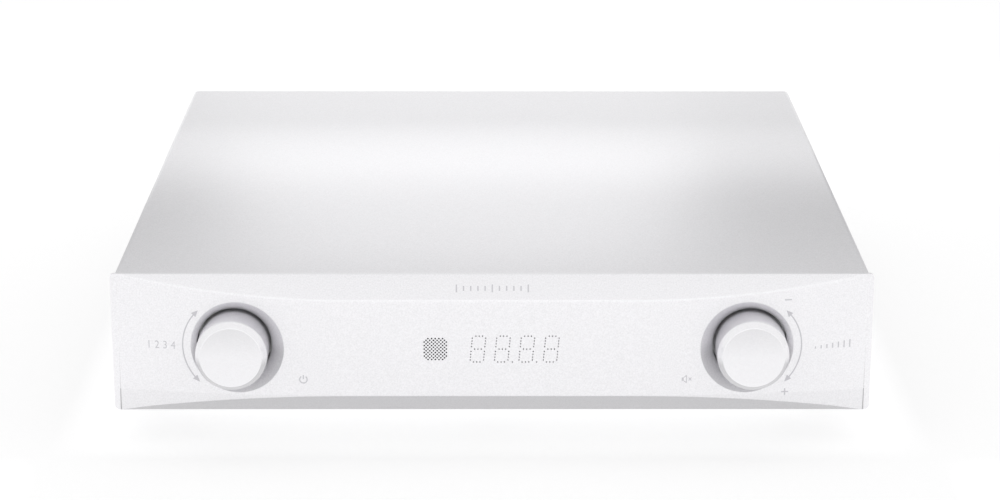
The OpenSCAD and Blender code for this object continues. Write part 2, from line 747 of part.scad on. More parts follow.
module post_cap(i) color(i % 2 == 0 ? [0.65, 0.08, 0.08] : [0.1, 0.1, 0.1]) difference() {
    base = thread_y + washer_t;
    turned_y(post_x[i], base, mid_z, [[post_d / 2 + run, 0], [6.6, 0], [6.6, 1.5], [cap_d / 2, 2.2],
        [cap_d / 2, cap_len - 1], [cap_d / 2 - 1, cap_len], [banana_d / 2 + 0.5, cap_len],
        [banana_d / 2 + 0.5, cap_len - 1.5], [post_d / 2 + run, cap_len - 1.5]]);
    flute_r = cap_d / 2 + 0.5;
    for (a = [0:30:330]) bar_y(post_x[i] + flute_r * cos(a), base + 3.2, base + cap_len - 2.8,
        mid_z + flute_r * sin(a), 1.1, 24);
}

// ---------------------------------------------------------------- signal sockets

shell_r = 4.15;
shell_out = 9.5;
neck_r = 3.9;
neck_wall = 0.6;
ring_t = 1.2;
jack_hole_r = 5.2;
jack_foot = rear_y - 9;
pin_bore_r = 1.65;

module rca_shells() color([0.83, 0.68, 0.35]) for (x = jack_x, z = jack_z) difference() {
    union() {
        bar_y(x, jack_foot, rear_y + ring_t + cut / 2, z, neck_r);
        bar_y(x, rear_y + ring_t, rear_y + shell_out, z, shell_r);
        bar_y(x, jack_foot, rear_y - rear_t - 2, z, jack_hole_r + 0.4);
    }
    bar_y(x, jack_foot - cut, rear_y + shell_out + cut, z, neck_r - neck_wall);
}

module rca_inserts() color([0.92, 0.92, 0.9]) for (x = jack_x, z = jack_z) {
    difference() {
        bar_y(x, jack_foot, rear_y + shell_out - 1, z, neck_r - neck_wall - run);
        bar_y(x, rear_y - 4, rear_y + shell_out + cut, z, pin_bore_r);
    }
    difference() {
        union() {
            bar_y(x, rear_y - rear_t, rear_y, z, jack_hole_r - run);
            bar_y(x, rear_y, rear_y + ring_t, z, jack_hole_r + 1);
        }
        bar_y(x, rear_y - rear_t - cut, rear_y + ring_t + cut, z, neck_r + run);
    }
}

optic_hole = 8.4;
flap_t = 0.8;
flap_pin_r = 0.6;
flap_y = rear_y + 0.4;
flap_pin_z = optic_hole / 2 + 0.5;
flap_pin_out = 0.45;
optic_lip = 1.4;
optic_d = 12;
optic_well = 9.6;
optic_wall = 0.9;

module optical_sockets() color([0.07, 0.07, 0.08]) for (z = jack_z) difference() {
    union() {
        standing(rear_y, optic_lip) translate([optical_x, z])
            rounded_rect(optical_size[0], optical_size[1], 0.8);
        block_y(optical_x, rear_y - optic_d, rear_y + cut / 2, z,
            optical_size[0] - 2 * optic_wall, optical_size[1] - 2 * optic_wall);
    }
    block_y(optical_x, rear_y - optic_well, rear_y + optic_lip + cut, z, optic_hole, optic_hole);
    block_y(optical_x, rear_y - optic_well, rear_y + 0.95, z + optic_hole / 2, optic_hole, 2.5);
    translate([optical_x - optic_hole / 2 - 0.5, flap_y - flap_t / 2, z + flap_pin_z]) rotate([0, 90, 0])
        cylinder(h = optic_hole + 1, r = flap_pin_r + run);
}

module optical_flap(i) color([0.2, 0.2, 0.22]) translate([optical_x, flap_y - flap_t / 2, jack_z[i]]) {
    w = optic_hole - 2 * fit;
    translate([-w / 2, -flap_t / 2, -w / 2]) cube([w, flap_t, w / 2 + flap_pin_z]);
    translate([-w / 2 - flap_pin_out, 0, flap_pin_z]) rotate([0, 90, 0])
        cylinder(h = w + 2 * flap_pin_out, r = flap_pin_r);
}

usb_d = 14;
usb_lip = 0.6;
usb_well = 9;
usb_bore = [8.5, 7.8];
usb_tongue = [5.6, 3.1];

module usb_socket() color([0.8, 0.8, 0.82]) {
    difference() {
        block_y(usb_x, rear_y - usb_d, rear_y + usb_lip, usb_z, usb_size[0], usb_size[1]);
        difference() {
            block_y(usb_x, rear_y - usb_well, rear_y + usb_lip + cut, usb_z, usb_bore[0], usb_bore[1]);
            for (s = [-1, 1]) translate([usb_x + s * usb_bore[0] / 2, rear_y, usb_z + usb_bore[1] / 2])
                rotate([0, 45, 0]) cube([2, through, 2], center = true);
        }
    }
    block_y(usb_x, rear_y - usb_well - cut, rear_y - usb_lip, usb_z, usb_tongue[0], usb_tongue[1]);
}

// ---------------------------------------------------------------- power supply

torus_hole = 16;
torus_round = 6;
torus_pad_t = 2;
plate_t = 1.5;
pad_inset = 4;
pad_bore_r = 3.2;
bolt_nut = [5.7, 4];
torus_z = floor_z + torus_pad_t;
plate_z = torus_z + torus_h + torus_pad_t;

module transformer() color([0.75, 0.6, 0.2])
    translate([torus_x, torus_y, torus_z + torus_h / 2]) rotate_extrude()
        translate([(torus_d / 2 + torus_hole) / 2, 0])
            rounded_rect(torus_d / 2 - torus_hole, torus_h, torus_round);

module transformer_pads() color([0.15, 0.15, 0.15]) for (z = [floor_z, torus_z + torus_h]) difference() {
    translate([torus_x, torus_y, z]) cylinder(h = torus_pad_t, r = torus_d / 2 - pad_inset);
    translate([torus_x, torus_y, z - cut]) cylinder(h = torus_pad_t + 2 * cut, r = pad_bore_r);
}

module transformer_plate() color([0.7, 0.7, 0.72]) difference() {
    translate([torus_x, torus_y, plate_z]) cylinder(h = plate_t, r = torus_d / 3);
    translate([torus_x, torus_y, plate_z - cut]) cylinder(h = plate_t + 2 * cut, r = bolt_r + run);
}

module transformer_bolt() color([0.75, 0.73, 0.65]) translate([torus_x, torus_y, 0]) {
    top = plate_z + plate_t;
    translate([0, 0, case_z]) screw_up(top - case_z + 5, r = bolt_r, head_r = 5.5, head_h = 3.2);
    difference() {
        translate([0, 0, top]) cylinder(h = bolt_nut[1], r = bolt_nut[0], $fn = 6);
        translate([0, 0, top - cut]) cylinder(h = bolt_nut[1] + 2 * cut, r = bolt_r + run);
    }
}

// A board with holes near its corners, seen from above as [[x, y], [width, length]]
hole_in = 4;
function corners(b) = [for (i = [0, 1], j = [0, 1])
    [b[0][0] + hole_in + i * (b[1][0] - 2 * hole_in), b[0][1] + hole_in + j * (b[1][1] - 2 * hole_in)]];

module bare_board(b) difference() {
    box(b[0][0], b[0][1], board_z, [b[1][0], b[1][1], board_t]);
    screw_holes(corners(b), board_z, board_t);
}

// A part on a board, by its place from the board's near left corner
module fitted(b, x, y, size) {
    box(b[0][0] + x, b[0][1] + y, board_top, size);
}

can_r = 10;
can_h = 28;
can_vent = [16, 0.8, 0.4];
can_places = [for (i = [0:3]) power_pcb[0] + [14 + i * 21.5, power_pcb[1][1] - 18]];

module power_board() color([0.1, 0.35, 0.18]) {
    bare_board(power_pcb);
    fitted(power_pcb, 12, 6, [32, 12, 16]);
    fitted(power_pcb, 50, 6, [14, 18, 14]);
    fitted(power_pcb, 70, 8, [10, 20, 10]);
    fitted(power_pcb, 8, 24, [24, 4, 14]);
    for (i = [0:3]) fitted(power_pcb, 38 + i * 8, 27, [6, 5, 4]);
}

module filter_capacitors() color([0.12, 0.14, 0.3])
    for (p = can_places) translate([p[0], p[1], board_top]) difference() {
        cylinder(h = can_h, r = can_r);
        for (a = [0, 90]) rotate(a) translate([-can_vent[0] / 2, -can_vent[1] / 2, can_h - can_vent[2]])
            cube([can_vent[0], can_vent[1], 2]);
    }

// ---------------------------------------------------------------- amplifier and input boards

spreader = [amp_pcb[0][0] + 44, amp_pcb[0][1] + 10, 18, amp_pcb[1][1] - 20];
spreader_h = 14;
fin_h = 6;
fin_t = 2;
relay_x = [8, 24];
relay_h = 14;

module amp_board() color([0.1, 0.3, 0.35]) {
    bare_board(amp_pcb);
    for (s = [0, 1]) {
        fitted(amp_pcb, s == 0 ? 22 : 76, 14, [8, 14, 12]);
        fitted(amp_pcb, s == 0 ? 22 : 76, 34, [8, 14, 12]);
        fitted(amp_pcb, relay_x[s], amp_pcb[1][1] - 20, [10, 12, relay_h]);
    }
    fitted(amp_pcb, 26, 1.5, [30, 6, 9]);
}

module heat_spreader() color([0.78, 0.78, 0.8]) {
    box(spreader[0], spreader[1], board_top, [spreader[2], spreader[3], spreader_h]);
    for (i = [0:3]) box(spreader[0] + i * (spreader[2] - fin_t) / 3, spreader[1], board_top + spreader_h,
        [fin_t, spreader[3], fin_h]);
}

transistor = [4.5, 10, 12];
leg = [0.6, 0.8, 2];
leg_pitch = 2.6;

module power_transistors() color([0.12, 0.12, 0.13]) for (s = [0, 1], i = [0:3]) {
    x = s == 0 ? spreader[0] - transistor[0] : spreader[0] + spreader[2];
    y = spreader[1] + 8 + i * (spreader[3] - 26) / 3;
    box(x, y, board_top + leg[2], transistor);
    for (k = [0:2]) box(x + 2, y + 2 + k * leg_pitch, board_top, leg);
}

coil_r = 8;
coil_h = 14;
coil_bore_r = 3;
coil_x = [11, 95];

module output_inductors() color([0.2, 0.2, 0.22]) for (s = [0, 1], i = [0, 1])
    translate([amp_pcb[0][0] + coil_x[s], amp_pcb[0][1] + 24 + i * 30, board_top]) difference() {
        cylinder(h = coil_h, r = coil_r);
        translate([0, 0, 3]) cylinder(h = coil_h, r = coil_bore_r);
    }

jack_block = [12.6, 11, 26];

module input_board() color([0.1, 0.35, 0.18]) {
    bare_board(input_pcb);
    for (x = jack_x) box(x - jack_block[0] / 2, jack_foot - jack_block[1], board_top, jack_block);
    fitted(input_pcb, 14, 12, [10, 10, 1.2]);
    fitted(input_pcb, 34, 12, [12, 12, 1.2]);
    fitted(input_pcb, 54, 10, [14, 14, 1.2]);
    fitted(input_pcb, 12, 1, [ribbon_w + 4, 5, 6]);
}

spacer_r = 3;
spacer_bore = 4;

module board_fixings() color([0.8, 0.75, 0.5])
    for (b = [power_pcb, amp_pcb, input_pcb], p = corners(b)) translate([p[0], p[1], 0]) {
        difference() {
            translate([0, 0, floor_z]) cylinder(h = spacer_h, r = spacer_r, $fn = 6);
            translate([0, 0, board_z - spacer_bore]) cylinder(h = spacer_bore + 1, r = screw_r + run);
        }
        translate([0, 0, board_top]) rotate([180, 0, 0]) screw_up(board_t + 3.5);
    }

// A flat cable on the tray, up to the display board in front
module ribbon_cable() color([0.75, 0.76, 0.78]) {
    t = 0.9;
    x = ribbon_x - ribbon_w / 2;
    top_z = mid_z - ribbon_drop;
    near_y = display_back + pocket_in + 0.2;
    fall_y = display_back + 12;
    far_y = input_pcb[0][1] - 5;
    box(x, near_y, top_z - t / 2, [ribbon_w, fall_y - near_y, t]);
    box(x, fall_y - t, floor_z, [ribbon_w, t, top_z - floor_z]);
    box(x, fall_y - t, floor_z, [ribbon_w, far_y - fall_y + t, t]);
    box(x, far_y - ribbon_w, floor_z, [input_pcb[0][0] + 26 - x, ribbon_w, t]);
    box(input_pcb[0][0] + 14, far_y - t, floor_z, [ribbon_w, t, board_top + 3 - floor_z]);
    box(input_pcb[0][0] + 14, far_y - t, board_top + 3, [ribbon_w, 6 + t, t]);
}

// Mains leads to the switch and the transformer, and a lead to each speaker terminal
lead_r = 1.1;
lead_gap = 0.6;
module internal_wires() {
    tail_y = blade_end - lead_gap;
    winding_x = torus_x - torus_d / 2 - lead_r - run;
    winding_z = torus_z + torus_h - torus_round;
    color([0.45, 0.25, 0.15]) {
        wire([[inlet_x + 7, tail_y, cavity_z], [inlet_x + 8, tail_y - 4, cavity_z],
            [switch_x - 5, tail_y - 2, mid_z + 8], [switch_x, rear_y - 20, mid_z + 5],
            [switch_x, rear_y - switch_d - lead_gap, mid_z + 5]], lead_r);
        wire([[inlet_x - 7, tail_y, cavity_z], [inlet_x - 8, tail_y - 3, cavity_z - 2],
            [inlet_x - 12, tail_y - 5, mid_z + 6], [winding_x, rear_y - 60, winding_z],
            [winding_x, torus_y, winding_z]], lead_r);
    }
    color([0.7, 0.1, 0.1]) for (i = [0:3]) {
        start = [post_x[i], post_tail - lead_gap, mid_z];
        relay = [relay_x[floor(i / 2)] + 2.5 + 5 * (i % 2), amp_pcb[1][1] - 14];
        end = [amp_pcb[0][0] + relay[0], amp_pcb[0][1] + relay[1], board_top + relay_h + lead_gap];
        wire([start, start + [0, -2, 0], start + [0, -5, 0],
            [(start[0] + end[0]) / 2, start[1] - 20, mid_z + 10],
            end + [0, 2, 7], end], lead_r);
    }
}

front_panel();
top_cover();
base_tray();
rear_panel();
front_bracket();
feet();
foot_pads();
foot_screws();
cover_screws();
panel_screws();
floor_screws();
knob(-knob_x);  // input_knob
encoder_shaft(-knob_x);  // input_shaft
encoder(-knob_x);  // input_encoder
plunger(-knob_x);  // input_plunger
knob(knob_x);  // volume_knob
encoder_shaft(knob_x);  // volume_shaft
encoder(knob_x);  // volume_encoder
plunger(knob_x);  // volume_plunger
encoder_nuts();
display_board();
digit_display();
infrared_receiver();
mains_inlet();
inlet_blades();
fuse_drawer();
mains_fuse();
switch_frame();
power_rocker();
speaker_posts();
post_collars();
post_nuts();
post_washer(0);  // post_washer_1
post_washer(1);  // post_washer_2
post_washer(2);  // post_washer_3
post_washer(3);  // post_washer_4
post_cap(0);  // post_cap_1
post_cap(1);  // post_cap_2
post_cap(2);  // post_cap_3
post_cap(3);  // post_cap_4
rca_shells();
rca_inserts();
optical_sockets();
optical_flap(0);  // optical_flap_1
optical_flap(1);  // optical_flap_2
usb_socket();
transformer();
transformer_pads();
transformer_plate();
transformer_bolt();
power_board();
filter_capacitors();
amp_board();
heat_spreader();
power_transistors();
output_inductors();
input_board();
board_fixings();
ribbon_cable();
internal_wires();
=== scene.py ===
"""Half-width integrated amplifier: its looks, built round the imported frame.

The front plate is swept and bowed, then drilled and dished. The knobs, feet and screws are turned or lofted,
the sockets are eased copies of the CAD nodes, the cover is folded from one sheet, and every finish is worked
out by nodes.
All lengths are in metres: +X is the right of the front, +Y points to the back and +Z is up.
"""
import math

import bmesh
import bpy
from mathutils import Matrix, Vector


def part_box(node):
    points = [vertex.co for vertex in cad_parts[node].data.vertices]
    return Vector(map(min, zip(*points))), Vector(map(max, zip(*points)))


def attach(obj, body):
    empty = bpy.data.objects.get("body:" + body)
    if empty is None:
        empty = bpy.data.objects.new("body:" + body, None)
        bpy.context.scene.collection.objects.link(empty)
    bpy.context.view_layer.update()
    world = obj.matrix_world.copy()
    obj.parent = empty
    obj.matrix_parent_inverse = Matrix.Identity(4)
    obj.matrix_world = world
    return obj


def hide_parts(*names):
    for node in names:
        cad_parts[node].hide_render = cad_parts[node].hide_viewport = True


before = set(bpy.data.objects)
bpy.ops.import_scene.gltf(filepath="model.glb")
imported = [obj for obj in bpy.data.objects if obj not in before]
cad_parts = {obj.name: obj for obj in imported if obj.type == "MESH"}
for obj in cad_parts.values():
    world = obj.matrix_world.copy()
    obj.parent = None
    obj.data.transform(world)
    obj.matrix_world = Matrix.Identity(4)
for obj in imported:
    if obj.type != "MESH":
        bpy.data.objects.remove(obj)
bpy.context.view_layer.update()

MM = 0.001

# Front plate
BULGE = 6.6 * MM              # the middle of the face ahead of its ends
FLAT_HALF = 43.5 * MM         # half the flat middle of the face
BOW_END = 2.1 * MM            # where the bow ends, in from the plate's end
LIP_T = 1.0 * MM
CORNER_R = 1.4 * MM
SKIN_T = 1.2 * MM             # wall left in front of the display
DISH_DEPTH = 3.4 * MM
DISH_SLOPE = 0.9
KNOB_GAP = 0.5 * MM

# Marks on the face
DIGIT_H = 8.4 * MM
DIGIT_PITCH = 7.5 * MM
DIGIT_FIRST = -4.4 * MM
DIGIT_HALF = 2.06 * MM
DIGIT_LEAN = 0.093
DOT_D = 0.42 * MM
MESH_D = 0.54 * MM
MESH_PITCH = 1.13 * MM
MESH_X = -17.5 * MM
MESH_ROWS = 6                 # rows above and below the middle one

front_lo, front_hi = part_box("front_panel")
knob_lo, knob_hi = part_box("volume_knob")
cover_lo, cover_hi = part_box("top_cover")
tray_lo, tray_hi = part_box("base_tray")
rear_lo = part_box("rear_panel")[0]

HALF_W = front_hi.x
LIP_Y = front_lo.y + BULGE
STEP_Y = front_hi.y
PLATE_Z = front_lo.z
PLATE_H = front_hi.z - front_lo.z
MID_Z = (front_lo.z + front_hi.z) / 2
CASE_Y = cover_lo.y
REAR_Y = cover_hi.y
KNOB_X = (knob_lo.x + knob_hi.x) / 2
KNOB_R = (knob_hi.x - knob_lo.x) / 2
KNOB_Y = knob_lo.y
KNOB_HOLE_R = KNOB_R + KNOB_GAP
BOW_RUN = HALF_W - BOW_END - FLAT_HALF
BOW_R = (BOW_RUN ** 2 + BULGE ** 2) / (2 * BULGE)


def face_y(x):
    """The bowed face's place along Y."""
    past = max(abs(x) - FLAT_HALF, 0)
    return LIP_Y - BULGE + BOW_R - math.sqrt(BOW_R ** 2 - past ** 2)


# ---- node graphs

class Field:
    """A node's output, with arithmetic that adds Math nodes."""

    def __init__(self, graph, socket):
        self.graph = graph
        self.socket = socket

    def math(self, operation, *others, swap=False):
        values = [self, *others]
        if swap:
            values.reverse()
        return self.graph.add("ShaderNodeMath", {"operation": operation}, dict(enumerate(values)))

    def __add__(self, other): return self.math("ADD", other)
    def __radd__(self, other): return self.math("ADD", other)
    def __sub__(self, other): return self.math("SUBTRACT", other)
    def __rsub__(self, other): return self.math("SUBTRACT", other, swap=True)
    def __mul__(self, other): return self.math("MULTIPLY", other)
    def __rmul__(self, other): return self.math("MULTIPLY", other)
    def __truediv__(self, other): return self.math("DIVIDE", other)
    def __pow__(self, other): return self.math("POWER", other)
    def __abs__(self): return self.math("ABSOLUTE")
    def __gt__(self, other): return self.math("GREATER_THAN", other)

    def clip(self):
        return self.math("MAXIMUM", 0.0).math("MINIMUM", 1.0)

    def out(self, name):
        """Another output of the same node."""
        return Field(self.graph, self.socket.node.outputs[name])


class Graph:
    """A node tree, with one method that adds any node."""

    def __init__(self, tree):
        self.tree = tree

    def add(self, kind, settings=None, sockets=None, out=0):
        node = self.tree.nodes.new(kind)
        for name, value in (settings or {}).items():
            if name == "stops":
                self.set_stops(node.color_ramp.elements, value)
            else:
                setattr(node, name, value)
        for name, value in (sockets or {}).items():
            if isinstance(value, Field):
                self.tree.links.new(value.socket, node.inputs[name])
            else:
                node.inputs[name].default_value = value
        return Field(self, node.outputs[out]) if len(node.outputs) else node

    @staticmethod
    def set_stops(elements, stops):
        while len(elements) < len(stops):
            elements.new(1.0)
        for element, (place, colour) in zip(elements, stops):
            element.position = place
            element.color = (*colour, 1.0)


class ShapeGraph(Graph):
    """A geometry tree with named inputs."""

    def __init__(self, name, inputs):
        super().__init__(bpy.data.node_groups.new(name, "GeometryNodeTree"))
        face = self.tree.interface
        face.new_socket("Geometry", in_out="INPUT", socket_type="NodeSocketGeometry")
        face.new_socket("Geometry", in_out="OUTPUT", socket_type="NodeSocketGeometry")
        for label, kind in inputs.items():
            face.new_socket(label, in_out="INPUT", socket_type="NodeSocket" + kind)
        self.inputs = self.add("NodeGroupInput")

    def given(self, label):
        return self.inputs.out(label)

    def close(self, shape):
        """Ends the tree in Realize Instances and Set Material."""
        real = self.add("GeometryNodeRealizeInstances", sockets={"Geometry": shape})
        made = self.add("GeometryNodeSetMaterial", sockets={
            "Geometry": real, "Material": self.given("Material")})
        end = self.tree.nodes.new("NodeGroupOutput")
        self.tree.links.new(made.socket, end.inputs["Geometry"])


def grown(graph, source, values):
    """Runs a geometry tree on a mesh and returns the plain mesh that it makes."""
    holder = placed("holder", source)
    modifier = holder.modifiers.new("grow", "NODES")
    modifier.node_group = graph.tree
    for item in graph.tree.interface.items_tree:
        if item.in_out == "INPUT" and item.name in values:
            modifier[item.identifier] = values[item.name]
    return baked(holder)


# ---- mesh helpers

def placed(name, mesh):
    """A new object at the origin; its place is in its mesh."""
    made = bpy.data.objects.new(name, mesh)
    bpy.context.scene.collection.objects.link(made)
    return made


def baked(holder):
    """The evaluated mesh of an object, which is then removed."""
    bpy.context.view_layer.update()
    mesh = bpy.data.meshes.new_from_object(holder.evaluated_get(bpy.context.evaluated_depsgraph_get()))
    bpy.data.objects.remove(holder)
    return mesh


def mesh_from(points, faces, weld=1e-7):
    mesh = bpy.data.meshes.new("shape")
    mesh.from_pydata([tuple(p) for p in points], [], faces)
    return tidied(mesh, weld)


def tidied(mesh, weld=1e-7):
    """Doubles merged and faces turned outwards."""
    work = bmesh.new()
    work.from_mesh(mesh)
    bmesh.ops.remove_doubles(work, verts=work.verts, dist=weld)
    bmesh.ops.dissolve_degenerate(work, edges=work.edges, dist=weld)
    bmesh.ops.delete(work, geom=[v for v in work.verts if not v.link_faces], context="VERTS")
    bmesh.ops.recalc_face_normals(work, faces=work.faces)
    work.to_mesh(mesh)
    work.free()
    return mesh


def shaded(mesh, sharp_deg=32):
    """Smooth faces that meet sharply only along real edges."""
    work = bmesh.new()
    work.from_mesh(mesh)
    for face in work.faces:
        face.smooth = True
    for edge in work.edges:
        edge.smooth = len(edge.link_faces) == 2 and edge.calc_face_angle() < math.radians(sharp_deg)
    work.to_mesh(mesh)
    work.free()
    return mesh


def joined(meshes):
    work = bmesh.new()
    for mesh in meshes:
        work.from_mesh(mesh)
    whole = bpy.data.meshes.new("joined")
    work.to_mesh(whole)
    work.free()
    return whole


def loft(rings):
    """A closed skin over rings of equal length; both ends are closed by a fan."""
    count = len(rings[0])
    points = [p for ring in rings for p in ring]
    faces = []
    for i in range(len(rings) - 1):
        for k in range(count):
            n = (k + 1) % count
            faces.append((i * count + k, i * count + n, (i + 1) * count + n, (i + 1) * count + k))
    for ring, first in ((rings[0], 0), (rings[-1], (len(rings) - 1) * count)):
        middle = sum((Vector(p) for p in ring), Vector()) / count
        points.append(middle)
        for k in range(count):
            faces.append((first + k, first + (k + 1) % count, len(points) - 1))
    return mesh_from(points, faces)


def softened(outline, radius, steps=4, closed=False):
    """An outline with its corners rounded, as far as its shortest sides allow."""
    made = []
    last = len(outline) - 1
    for i, corner in enumerate(outline):
        if not closed and i in (0, last):
            made.append(corner)
            continue
        here = Vector(corner)
        before = Vector(outline[i - 1]) - here
        after = Vector(outline[(i + 1) % len(outline)]) - here
        reach = min(radius, before.length * 0.45, after.length * 0.45)
        start, end = here + before.normalized() * reach, here + after.normalized() * reach
        for k in range(steps + 1):
            t = k / steps
            made.append(tuple(start * (1 - t) ** 2 + here * (2 * t * (1 - t)) + end * t ** 2))
    return made


def around(sides):
    return [2 * math.pi * k / sides for k in range(sides)]


def ring_y(radius, y, x, z, sides):
    return [(x + radius * math.cos(a), y, z + radius * math.sin(a)) for a in around(sides)]


def turned_y(outline, x, z, sides):
    """A shape turned about an axis along +Y; the outline is (radius, y), pole to pole."""
    return loft([ring_y(max(r, 0.0), y, x, z, sides) for r, y in outline])


def turned_ring(outline, x, y, sides=96):
    """A ring turned about an upright axis; the outline is (radius, z), closed on itself."""
    points = [(x + r * math.cos(a), y + r * math.sin(a), z) for a in around(sides) for r, z in outline]
    count = len(outline)
    faces = []
    for i in range(sides):
        for k in range(count):
            a, b = i * count, (i + 1) % sides * count
            n = (k + 1) % count
            faces.append((a + k, a + n, b + n, b + k))
    return mesh_from(points, faces)


def bar(lo, hi):
    """A box between two corners."""
    flat = [(lo[0], lo[1]), (hi[0], lo[1]), (hi[0], hi[1]), (lo[0], hi[1])]
    return loft([[(x, y, z) for x, y in flat] for z in (lo[2], hi[2])])


def carved(mesh, tool, operation="DIFFERENCE"):
    """One mesh cut by another, or joined to it."""
    body, cutter = placed("body", mesh), placed("cutter", tool)
    modifier = body.modifiers.new("carve", "BOOLEAN")
    modifier.operation = operation
    modifier.solver = "MANIFOLD"
    modifier.object = cutter
    made = baked(body)
    bpy.data.objects.remove(cutter)
    return made


def edged(mesh, width):
    """A mesh with its sharp edges eased by a narrow bevel."""
    holder = placed("holder", mesh)
    modifier = holder.modifiers.new("ease", "BEVEL")
    modifier.width = width
    modifier.segments = 2
    modifier.limit_method = "ANGLE"
    modifier.angle_limit = math.radians(40)
    modifier.miter_outer = "MITER_ARC"
    modifier.harden_normals = False
    return baked(holder)


def node_copy(node):
    """A CAD node's shape with its doubles merged and its flat faces whole."""
    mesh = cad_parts[node].data.copy()
    mesh.materials.clear()
    work = bmesh.new()
    work.from_mesh(mesh)
    bmesh.ops.remove_doubles(work, verts=work.verts, dist=1e-6)
    bmesh.ops.dissolve_limit(work, angle_limit=math.radians(0.4), verts=work.verts, edges=work.edges)
    work.to_mesh(mesh)
    work.free()
    return mesh


def piece(name, mesh, finish, body, slot, *stands_for):
    """A finished piece: its material, the body that carries it and the nodes it stands for."""
    mesh.materials.clear()
    mesh.materials.append(finish)
    made = placed(name, mesh)
    made.data.name = name
    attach(made, body)
    if stands_for:
        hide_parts(*stands_for)
    return made


# ---- finishes

class Finish(Graph):
    """A material with one Principled shader."""

    def __init__(self, name, **plain):
        self.material = bpy.data.materials.new(name)
        self.material.use_nodes = True
        super().__init__(self.material.node_tree)
        self.shader = self.tree.nodes["Principled BSDF"]
        self.feed(**{label.replace("_", " "): value for label, value in plain.items()})

    def feed(self, **sockets):
        for label, value in sockets.items():
            if isinstance(value, Field):
                self.tree.links.new(value.socket, self.shader.inputs[label])
            else:
                self.shader.inputs[label].default_value = value

    def place(self, **mapping):
        """Object coordinates, moved, turned or stretched by a Mapping node."""
        here = self.add("ShaderNodeTexCoord", out="Object")
        if not mapping:
            return here
        return self.add("ShaderNodeMapping", sockets={"Vector": here, **mapping})

    def noise(self, size, detail=2.0, rough=0.5, **mapping):
        """Noise from 0 to 1 whose blotches are about size across."""
        return self.add("ShaderNodeTexNoise", sockets={
            "Vector": self.place(**mapping), "Scale": 1 / size, "Detail": detail, "Roughness": rough})

    def blend(self, amount, first, second):
        """A mix of two colours, each a tuple or a Field."""
        node = self.add("ShaderNodeMix", {"data_type": "RGBA"})
        mix = node.socket.node
        for socket, value in ((mix.inputs[0], amount), (mix.inputs[6], first), (mix.inputs[7], second)):
            if isinstance(value, Field):
                self.tree.links.new(value.socket, socket)
            else:
                socket.default_value = (*value, 1.0) if isinstance(value, tuple) else value
        return Field(self, mix.outputs[2])

    def relief(self, height, depth, strength=1.0):
        """Bumps of a real depth in metres."""
        self.feed(Normal=self.add("ShaderNodeBump", sockets={
            "Height": height, "Distance": depth, "Strength": strength}))

    def along(self, axis, start=0.0):
        """The distance from start along one axis of the object."""
        shift = {"Location": tuple(-start * (name == axis) for name in "XYZ")} if start else {}
        return self.add("ShaderNodeSeparateXYZ", sockets={"Vector": self.place(**shift)}).out(axis)

    def dressed(self, colour, roughness, *bumps, **more):
        """Feeds the shader its colour, its roughness and its bumps, and gives the material."""
        self.feed(**{"Base Color": colour, "Roughness": roughness, **more})
        if bumps:
            self.relief(*bumps)
        return self.material


def tint(colour, factor):
    return tuple(c * factor for c in colour)


def blasted_aluminium(name, colour, roughness=0.42, speckle=0.45, painted_shade=0.0, painted_shade_below=1.0, turn=0.3):
    """Bead-blasted, clear anodised aluminium: fine pits, and a faint drift of tone.

    Below the height painted_shade_below, faces that look down are darkened by painted shade, losing up to
    painted_shade of their tone; all of it is lost once the normal's fall reaches turn.
    """
    finish = Finish(name, Metallic=0.85)
    pits = finish.noise(0.45 * MM, detail=3, rough=0.75)
    drift = finish.noise(60 * MM, detail=2)
    level = ((pits - 0.5) * (2 * speckle) + (drift - 0.5) * 0.03 + 0.5).clip()
    tone = finish.blend(level, tint(colour, 0.78), tint(colour, 1.22))
    # Painted shade: faces that look down, low on the part, are darkened as if the light from above does not
    # reach them.
    if painted_shade:
        facing = finish.add("ShaderNodeSeparateXYZ", sockets={
            "Vector": finish.add("ShaderNodeNewGeometry", out="Normal")}).out("Z")
        under = (facing / -turn).clip() * (finish.along("Z") * -1.0 > -painted_shade_below)
        tone = finish.blend(under * painted_shade, tone, (0.0, 0.0, 0.0))
    return finish.dressed(tone, pits * 0.10 + (roughness - 0.05), pits, 0.012 * MM, 0.5)


def turned_metal(name, colour, roughness):
    """Machined metal: fine lines one way, and a few smudges."""
    finish = Finish(name, Metallic=1.0)
    cut = finish.noise(0.6 * MM, detail=3, rough=0.6, Scale=(1.0, 18.0, 1.0))
    smudge = finish.noise(7 * MM, detail=3)
    return finish.dressed(finish.blend(cut * 0.5 + smudge * 0.5, tint(colour, 0.82), tint(colour, 1.08)),
                          cut * 0.12 + smudge * 0.1 + (roughness - 0.11), cut, 0.004 * MM, 0.5)


def plated(name, colour, roughness=0.16):
    """Plated metal: almost a mirror, with soft handling marks and small pores."""
    finish = Finish(name, Metallic=1.0)
    marks = finish.noise(3.5 * MM, detail=4, rough=0.6)
    pores = finish.noise(0.25 * MM, detail=1)
    return finish.dressed(finish.blend(marks, tint(colour, 0.86), tint(colour, 1.06)),
                          marks * 0.16 + pores * 0.06 + (roughness - 0.1), pores, 0.003 * MM, 0.4)


def moulded_plastic(name, colour, roughness=0.5, grain=0.18 * MM, depth=0.02 * MM):
    """Moulded plastic: an even grain from the tool, and a little dust in it."""
    finish = Finish(name)
    grains = finish.noise(grain, detail=2, rough=0.55)
    flow = finish.noise(9 * MM, detail=2)
    lighter = tuple(c * 1.35 + 0.008 for c in colour)
    return finish.dressed(finish.blend(grains * 0.6 + flow * 0.4, tint(colour, 0.75), lighter),
                          grains * 0.16 + flow * 0.08 + (roughness - 0.12), grains, depth, 0.6)


